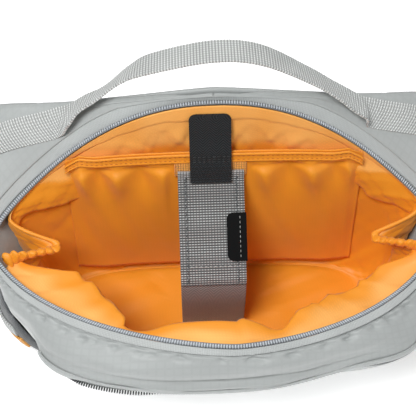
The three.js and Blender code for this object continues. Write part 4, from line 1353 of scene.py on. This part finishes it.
class MakeInnerStraps(bpy.types.Operator):
    """Makes the hanging tab, the cross tab, the holding strap with its second layer, and the bare patch"""

    bl_idname = "hip_pack.make_inner_straps"
    bl_label = "Inner straps"

    # Ribs and seams start at shares of a strap's length, and the strap at a row of its path
    TAB_CORNER = 5
    TAB_RIBS_FROM = 0.72
    TAB_SEAMS = (0.6, 0.645, 0.69)
    STRAP_FIRST = 14
    STRAP_SEAM = 0.84
    STITCH_SIDE = 5.2
    ZIGZAG_FROM = 7
    ZIGZAG_STEP = 1.3
    ZIGZAG_HALF = 1.3
    ZIGZAG_THREAD = (2.6, 0.6, 0.6)
    LABEL_CORNER = 4.5

    def execute(self, context):
        self.band("hanging_tab", TAB_PATH, TAB_WIDTH, "black", "black_webbing", "closure_tab",
                  corner=self.TAB_CORNER)
        self.band("holding_band", STRAP_PATH, STRAP_WIDTH, "strap", "strap_webbing", "holding_strap",
                  rib=size_of("rib_pitch"), first=self.STRAP_FIRST)
        self.band("holding_band_layer", UNDER_PATH, STRAP_WIDTH, "layer", "strap_webbing", "strap_underlayer")
        self.cross_tab()
        self.patch()
        self.seams()
        return {"FINISHED"}

    @staticmethod
    def line(rows, count):
        """Middle, way out and run of a strap."""
        points, ways, run = along_path(rows, count)
        middle = spots(INNER_CENTRE, points[:, 0], points[:, 1])
        out = spots(0, ways[:, 1], -ways[:, 0])
        return middle, out * np.sign(out[:, 2:].sum()), run

    def band(self, name, rows, width, material, slot, node, rib=0, corner=0, first=0):
        """A flat strap along a side path, with ribs all along it, or a round start and ribs at its end."""
        count = 420 if rib else 160
        middle, out, run = self.line(rows, count)
        wave = np.zeros(count)
        if rib:
            wave = 0.18 * np.cos(2 * np.pi * run / rib)
        if corner:
            wave = 0.25 * np.sin(2 * np.pi * run / 2.4) * (run > run[-1] * self.TAB_RIBS_FROM)
            cut = np.clip(corner - run, 0, corner)
            width = width - 2 * corner + 2 * np.sqrt(corner ** 2 - cut ** 2)
        surface = ribbon(middle, (1, 0, 0), out, width, WEBBING_WALL / 2 + wave)
        across = np.linspace(-0.5, 0.5, 25)
        piece = grid_piece(name, surface, np.arange(first, count), across, WEBBING_WALL, edge=WEBBING_EDGE)
        finish_piece(piece, material, slot, node)

    @staticmethod
    def cross_tab():
        """The ribbed orange piece behind the hanging tab."""
        front = sleeve(LINING_WALL)

        def surface(across, height):
            across, height = pair(across, height)
            share = (height - SLEEVE_LOW) / (SLEEVE_HIGH - SLEEVE_LOW)
            rib = 0.25 * np.sin(2 * np.pi * across / 1.8)
            return front(across, share) - spots(0, GAP + 1.2 + rib, 0)

        across = INNER_CENTRE + np.linspace(-CROSS_WIDTH / 2, CROSS_WIDTH / 2, 181)
        heights = np.linspace(CROSS_LOW, CROSS_HIGH + 1, 9)
        piece = grid_piece("cross_band", surface, across, heights, 1.1, edge=0.3)
        finish_piece(piece, "orange", "orange_webbing", "cross_tab")

    def patch(self):
        """The bare black patch along the strap's right edge, with round inner corners."""
        middle, out, run = self.line(STRAP_PATH, 400)
        first, last = (round(share * (len(run) - 1)) for share in (LABEL_FROM, LABEL_TO))
        from_end = (run[last] - run[first]) / 2 - np.abs(run - (run[first] + run[last]) / 2)
        corner = self.LABEL_CORNER
        cut = np.clip(corner - from_end, 0, corner)
        left = LABEL_LEFT + corner - np.sqrt(corner ** 2 - cut ** 2)
        surface = ribbon(middle + spots(left, 0, 0), (1, 0, 0), out, LABEL_RIGHT - left,
                         WEBBING_WALL / 2 + GAP + LABEL_WALL)
        piece = grid_piece("bare_patch", surface, np.arange(first, last + 1), np.linspace(0, 1, 9),
                           LABEL_WALL, edge=0.25)
        finish_piece(piece, "patch", "black_patch", "strap_label")

    def seams(self):
        """Rows of stitches on the strap, the patch and the tab."""
        middle, out, run = self.line(STRAP_PATH, 300)
        top = middle + out * (WEBBING_WALL / 2 + 0.25)
        self.zigzag(top, out, run)
        line = self.row_across(top, out, self.STRAP_SEAM, -STRAP_WIDTH / 2 + 6, STRAP_WIDTH / 2 - 2)
        sew("strap_row_stitches", [line], "light_thread", "strap_webbing", 0.8)
        last = len(run) - 1
        rows = slice(round((LABEL_FROM + 0.02) * last), round((LABEL_TO - 0.02) * last))
        line = (top[rows] + out[rows] * (GAP + LABEL_WALL) + spots(LABEL_RIGHT - 4.5, 0, 0), out[rows])
        sew("patch_stitches", [line], "light_thread", "black_patch", 0.5)
        middle, out, _ = self.line(TAB_PATH, 200)
        top, half = middle + out * (WEBBING_WALL / 2 + 0.2), TAB_WIDTH / 2 - 1.5
        lines = [self.row_across(top, out, share, -half, half) for share in self.TAB_SEAMS]
        sew("tab_stitches", lines, "black_thread", "black_webbing", 0.8)

    @staticmethod
    def row_across(top, out, share, start, end):
        """A seam line straight across a strap, at a share of its length."""
        row = round(share * (len(top) - 1))
        across = np.linspace(start, end, 60)
        return top[row] + spots(across, 0, 0), np.tile(out[row], (len(across), 1))

    def zigzag(self, top, out, run):
        """A column of zigzag stitches near each edge of the strap."""
        places, alongs, ups = [], [], []
        at = np.arange(self.ZIGZAG_FROM, run[-1] - 1, self.ZIGZAG_STEP)
        rows = np.interp(at, run, np.arange(len(run)))
        swing = np.where(np.arange(len(at)) % 2, self.ZIGZAG_HALF, -self.ZIGZAG_HALF)
        for hand in (-1, 1):
            points = pick(top, rows) + spots(hand * (STRAP_WIDTH / 2 - self.STITCH_SIDE) + swing, 0, 0)
            places.append((points[1:] + points[:-1]) / 2)
            alongs.append(unit(points[1:] - points[:-1]))
            ups.append(pick(out, rows)[1:])
        places, along, up = (np.concatenate(part) for part in (places, alongs, ups))
        side = unit(np.cross(up, along))
        piece = strew("strap_zigzag", places, (along, side, unit(np.cross(along, side))), self.ZIGZAG_THREAD)
        finish_piece(piece, "dark_thread", "strap_webbing")


class MakeHandle(bpy.types.Operator):
    """Makes the webbing that is sewn along both shoulders and stands up as a handle"""

    bl_idname = "hip_pack.make_handle"
    bl_label = "Handle"

    ROWS = 900
    RIB_PITCH = 1.4
    RIB_DEPTH = 0.12

    def execute(self, context):
        stations = [self.sewn(-1, *row) for row in SEWN_STATIONS]
        stations += [(np.array(place, float), unit(np.array(side, float))) for place, side in HANDLE_ARCH]
        stations += [self.sewn(1, *row) for row in reversed(SEWN_STATIONS)]
        places, sides = (np.array(column) for column in zip(*stations))
        at = np.linspace(0, len(stations) - 1, self.ROWS)
        middle, side = smooth(places, at), unit(smooth(sides, at))
        out = unit(np.cross(np.gradient(middle, axis=0), side))
        lift = WEBBING_WALL / 2 + self.RIB_DEPTH * np.sin(2 * np.pi * run_of(middle) / self.RIB_PITCH)
        piece = grid_piece("handle_webbing", ribbon(middle, side, out, HANDLE_WIDTH, lift),
                           np.arange(self.ROWS), np.linspace(-0.5, 0.5, 13), WEBBING_WALL, edge=WEBBING_EDGE)
        finish_piece(piece, "webbing", "grey_webbing", "carry_handle")
        return {"FINISHED"}

    @staticmethod
    def sewn(hand, across, left, right):
        """Middle and width of the webbing where it is sewn to a shoulder."""
        share = (across - SHOULDER_START) / (SHOULDER_END - SHOULDER_START)
        rise = 1 - (left if hand < 0 else right) / shoulder_length(hand, share)
        surface = shoulder(hand)
        side = unit(surface(share, np.minimum(rise + 0.1, 1)) - surface(share, rise - 0.1))
        return surface(share, rise) + shoulder_out(hand, share, rise) * (SEWN_LIFT + WEBBING_WALL / 2), side


class MakeFrontPocket(bpy.types.Operator):
    """Makes the pocket low on the front, with its covered zip"""

    bl_idname = "hip_pack.make_front_pocket"
    bl_label = "Front pocket"

    FLAP_HEIGHT = 6
    FLAP_ROLL = 2
    COIL_TURN = (1.3, 3.6, 1.8)
    SLIDER_SIZE = (7, 4, 9)
    SLIDER_TURN = 40
    SLIDER_ROUND = 1.1

    def execute(self, context):
        def surface(turn, share):
            turn, share = pair(turn, share)
            across = np.clip(np.cos(np.pi * (turn - 180) / (2 * POCKET_HALF_TURN)), 0, None)
            swell = POCKET_SWELL * across ** 0.5 * np.sin(np.pi * share) ** 0.7
            soft = 0.8 * ripple(turn, 17, 0.4) * ripple(share, 0.7, 1.2) * np.sin(np.pi * share)
            level = POCKET_LOW + (POCKET_HIGH - POCKET_LOW) * share
            return body_offset(turn, level, GAP + SHELL_WALL + swell + soft)

        turns = np.linspace(180 - POCKET_HALF_TURN, 180 + POCKET_HALF_TURN, 121)
        piece = grid_piece("pocket_cloth", surface, turns, np.linspace(0, 1, 61), SHELL_WALL, flip=True,
                           edge=0.4)
        finish_piece(piece, "shell", "shell_cloth", "front_pocket")
        self.zip()
        self.slider()
        return {"FINISHED"}

    def zip(self):
        """The rolled flap over the zip and the dark coil under it, which shows along a stretch of it."""
        turns = np.linspace(180 - POCKET_ZIP_HALF_TURN, 180 + POCKET_ZIP_HALF_TURN, 161)
        step = body(turns, POCKET_ZIP_LEVEL + 0.01) - body(turns, POCKET_ZIP_LEVEL)
        per_mm = 0.01 / np.linalg.norm(step, axis=1)
        shown = ease((turns - 193) / 8) * ease((214 - turns) / 5)
        corner = ease((turns - 212) / 5)

        def flap(row, share):
            row, share = at_rows(row, share)
            foot = -1.2 + 1.6 * shown[row] - 1.6 * corner[row]
            level = POCKET_ZIP_LEVEL + (foot + (self.FLAP_HEIGHT - foot) * share) * per_mm[row]
            roll = np.sin(np.pi * np.clip(share, 0, 1)) ** 0.5 * (1 - 0.6 * share)
            lift = self.FLAP_ROLL * roll * (1 - 0.8 * shown[row])
            return body_offset(turns[row], level, GAP + TAPE_WALL + lift)

        piece = grid_piece("pocket_flap", flap, np.arange(len(turns)), np.linspace(0, 1, 13), TAPE_WALL,
                           flip=True)
        finish_piece(piece, "shell", "zip_tape", "pocket_zip_tape")
        low = body_offset(turns, POCKET_ZIP_LEVEL + (2 * shown + 2.4 * corner - 2.6) * per_mm,
                          1.8 + 1.2 * shown - 0.9 * corner)
        out = body_out(turns, POCKET_ZIP_LEVEL)
        rows, places, along, side, up = line_ways(low, out, size_of("tooth_pitch"))
        lying = pick(shown[:, None], rows)
        side = unit(side * (1 - lying) + up * lying * np.sign(side[:, 2:]))
        coil = strew("pocket_coil", places, (along, side, unit(np.cross(along, side))), self.COIL_TURN)
        finish_piece(coil, "dark_coil", "dark_coil", "pocket_zip_coil")

    def slider(self):
        """The slider at the right end of the zip."""
        low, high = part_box("pocket_slider")
        place = Matrix.Translation((low + high) / 2) @ Matrix.Rotation(math.radians(self.SLIDER_TURN), 4, "Z")
        shape = bmesh.new()
        add_box(shape, place, Vector(self.SLIDER_SIZE) * MM, self.SLIDER_ROUND, 3)
        finish_piece(to_piece("pocket_pull", shape), "dark_coil", "dark_coil", "pocket_slider")


class MakeSidePockets(bpy.types.Operator):
    """Makes the dark stretch pocket low on each side, with its zip, webbing and orange tab"""

    bl_idname = "hip_pack.make_side_pockets"
    bl_label = "Side pockets"

    ZIP_LEVEL = SIDE_HIGH + 0.03
    ZIP_OUT = 1.4
    COIL_TURN = (1.3, 4.2, 1.8)

    def execute(self, context):
        for name, mirror in (("right", 1), ("left", -1)):
            self.side(name, mirror)
        return {"FINISHED"}

    def side(self, name, mirror):
        """Everything on one side."""
        def turn_at(share):
            turn = SIDE_TURN_FROM + (SIDE_TURN_TO - SIDE_TURN_FROM) * share
            return turn if mirror > 0 else 360 - turn

        def arch(share):
            return np.clip(np.sin(np.pi * share), 0, None) ** 0.5

        def face(distance):
            def surface(along, up):
                along, up = pair(along, up)
                level = SIDE_LOW + (SIDE_HIGH - SIDE_LOW) * up
                spot = body_offset(turn_at(along), level, GAP + distance)
                way = unit(body_out(turn_at(along), level) * (1, 1, 0))
                inner = np.sin(np.pi * along) * np.sin(np.pi * up)
                crease = 0.7 * ripple(along * 60 + up * 25, 14, 1.9) * inner
                return spot + way * (SIDE_SWELL * arch(along) * arch(up ** SIDE_LEAN) + crease)[..., None]
            return surface

        flip = mirror > 0
        ends = 0.5 - 0.5 * np.cos(np.pi * np.linspace(0, 1, 61))
        piece = grid_piece(f"stretch_pocket_{name}", face(SHELL_WALL), ends, ends, SHELL_WALL, flip=flip)
        finish_piece(piece, "stretch", "stretch_cloth", f"side_pocket_{name}")
        over = face(SHELL_WALL + GAP + WEBBING_WALL)
        band = grid_piece(f"side_band_{name}", over, np.linspace(0.2, 0.965, 81), np.linspace(0.5, 0.72, 17),
                          WEBBING_WALL, flip=flip, edge=WEBBING_EDGE)
        finish_piece(band, "webbing", "grey_webbing", f"side_strap_{name}")
        tab = grid_piece(f"side_ribbon_{name}", over, np.linspace(0.85, 0.97, 31),
                         np.linspace(0.22, 0.42, 17), WEBBING_WALL, flip=flip, edge=WEBBING_EDGE)
        finish_piece(tab, "orange", "orange_webbing", f"side_tab_{name}")
        turns = turn_at(np.linspace(0.06, 0.94, 120))
        low, out = body_offset(turns, self.ZIP_LEVEL, self.ZIP_OUT), body_out(turns, self.ZIP_LEVEL)
        _, places, *ways = line_ways(low, out, size_of("tooth_pitch"))
        coil = strew(f"side_coil_{name}", places, ways, self.COIL_TURN)
        finish_piece(coil, "dark_coil", "dark_coil", f"side_zip_{name}")


class MakeBelt(bpy.types.Operator):
    """Makes the two lengths of belt webbing and the plain buckle behind the pack"""

    bl_idname = "hip_pack.make_belt"
    bl_label = "Belt"

    ROWS = 500
    RIB_PITCH = 1.6
    RIB_DEPTH = 0.1
    BUCKLE_ROUND = 4

    def execute(self, context):
        tip = back_middle(WING_TIP, 0.5)[1]
        for name, hand in (("left", -1), ("right", 1)):
            route = np.array([
                (WING_TIP + 0.2, tip + 0.2), (WING_TIP + 9, tip + 5), (WING_TIP + 13, tip + 13),
                (WING_TIP + 9, BELT_BACK - 4), (WING_TIP - 4, BELT_BACK), (150, BELT_BACK),
                (BUCKLE_SIZE[0] / 2 - 0.5, BELT_BACK),
            ]) * (hand, 1)
            points, ways, run = along_path(route, self.ROWS)
            out = spots(ways[:, 1], -ways[:, 0], 0)
            middle = spots(points[:, 0], points[:, 1], BELT_CLEARANCE + BELT_HEIGHT / 2)
            lift = BELT_WALL / 2 + self.RIB_DEPTH * np.sin(2 * np.pi * run / self.RIB_PITCH)
            piece = grid_piece(f"belt_{name}", ribbon(middle, (0, 0, 1), out, BELT_HEIGHT, lift),
                               np.arange(self.ROWS), np.linspace(-0.5, 0.5, 13), BELT_WALL, edge=0.5)
            finish_piece(piece, "belt", "belt_webbing", f"belt_strap_{name}")
        self.buckle()
        return {"FINISHED"}

    def buckle(self):
        """A plain fastened buckle with round edges."""
        low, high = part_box("belt_buckle")
        shape = bmesh.new()
        add_box(shape, Matrix.Translation((low + high) / 2), Vector(BUCKLE_SIZE) * MM, self.BUCKLE_ROUND, 4)
        finish_piece(to_piece("plain_buckle", shape), "buckle", "buckle_plastic", "belt_buckle")


class MakeStage(bpy.types.Operator):
    """Makes the pale floor, the soft light and the camera at the photograph's angle"""

    bl_idname = "hip_pack.make_stage"
    bl_label = "Stage"

    WORLD_LIGHT = 0.13
    FLOOR_HALF = 4
    FLOOR_GLOW = 0.5
    # Lamps as name, place, width and power
    LAMPS = (
        ("key", (-350, -420, 1450), 450, 18.5),
        ("fill", (800, -700, 900), 900, 2.5),
        ("back", (0, 1000, 1300), 900, 6.5),
    )

    def execute(self, context):
        scene = context.scene
        self.floor(scene)
        world = bpy.data.worlds.new("studio")
        world.use_nodes = True
        ground = world.node_tree.nodes["Background"]
        ground.inputs["Color"].default_value = (1, 1, 1, 1)
        ground.inputs["Strength"].default_value = self.WORLD_LIGHT
        scene.world = world
        scene.view_settings.view_transform = "Standard"
        for name, place, size, power in self.LAMPS:
            lamp = bpy.data.lights.new(name, "AREA")
            lamp.size, lamp.energy = size * MM, power
            holder = bpy.data.objects.new(name, lamp)
            holder.location = Vector(place) * MM
            aim = Vector(CAMERA_TARGET) * MM - holder.location
            holder.rotation_euler = aim.to_track_quat("-Z", "Y").to_euler()
            scene.collection.objects.link(holder)
        self.camera(scene)
        return {"FINISHED"}

    def floor(self, scene):
        """A wide pale floor of matt board, which glows a little."""
        shape = bmesh.new()
        bmesh.ops.create_grid(shape, x_segments=2, y_segments=2, size=self.FLOOR_HALF)
        floor = to_piece("floor", shape)
        material, _, shader = new_material("pale_floor", 0.9)
        shader.inputs["Base Color"].default_value = scene.hip_pack_colours.floor
        shader.inputs["Emission Color"].default_value = (1, 1, 1, 1)
        shader.inputs["Emission Strength"].default_value = self.FLOOR_GLOW
        floor.data.materials.append(material)

    def camera(self, scene):
        """The camera at the photograph's angle and distance."""
        azimuth, elevation = math.radians(CAMERA_AZIMUTH), math.radians(CAMERA_ELEVATION)
        back = Vector((math.sin(azimuth) * math.cos(elevation), -math.cos(azimuth) * math.cos(elevation),
                       math.sin(elevation)))
        lens = bpy.data.cameras.new("camera")
        lens.sensor_width = SENSOR_WIDTH
        lens.lens = CAMERA_DISTANCE / PIXEL_SIZE / IMAGE_SIDE * SENSOR_WIDTH
        holder = bpy.data.objects.new("camera", lens)
        holder.location = (Vector(CAMERA_TARGET) + back * CAMERA_DISTANCE) * MM
        holder.rotation_euler = (-back).to_track_quat("-Z", "Y").to_euler()
        scene.collection.objects.link(holder)
        scene.camera = holder


OPERATORS = (MakeStage, MakeShell, MakeLining, MakePadding, MakeShoulders, MakeZips, MakeSleeve,
             MakeInnerStraps, MakeHandle, MakeFrontPocket, MakeSidePockets, MakeBelt)


class HipPackPanel(bpy.types.Panel):
    """Lists the steps that make the pack, and its sizes and colours"""

    bl_idname = "VIEW3D_PT_hip_pack"
    bl_label = "Hip pack"
    bl_space_type = "VIEW_3D"
    bl_region_type = "UI"
    bl_category = "Hip pack"

    def draw(self, context):
        for step in OPERATORS:
            self.layout.operator(step.bl_idname)
        for group in (context.scene.hip_pack_sizes, context.scene.hip_pack_colours):
            column = self.layout.column()
            for name in group.__annotations__:
                column.prop(group, name)


CLASSES = (HipPackSizes, HipPackColours, *OPERATORS, HipPackPanel)


def register():
    """Registers the classes and the scene's settings."""
    for kind in CLASSES:
        bpy.utils.register_class(kind)
    bpy.types.Scene.hip_pack_sizes = bpy.props.PointerProperty(type=HipPackSizes)
    bpy.types.Scene.hip_pack_colours = bpy.props.PointerProperty(type=HipPackColours)


def unregister():
    """Removes what register added."""
    del bpy.types.Scene.hip_pack_colours
    del bpy.types.Scene.hip_pack_sizes
    for kind in reversed(CLASSES):
        bpy.utils.unregister_class(kind)


def main():
    """Makes the pack and its stage."""
    register()
    for step in OPERATORS:
        group, name = step.bl_idname.split(".")
        getattr(getattr(bpy.ops, group), name)()


if __name__ == "__main__":
    main()
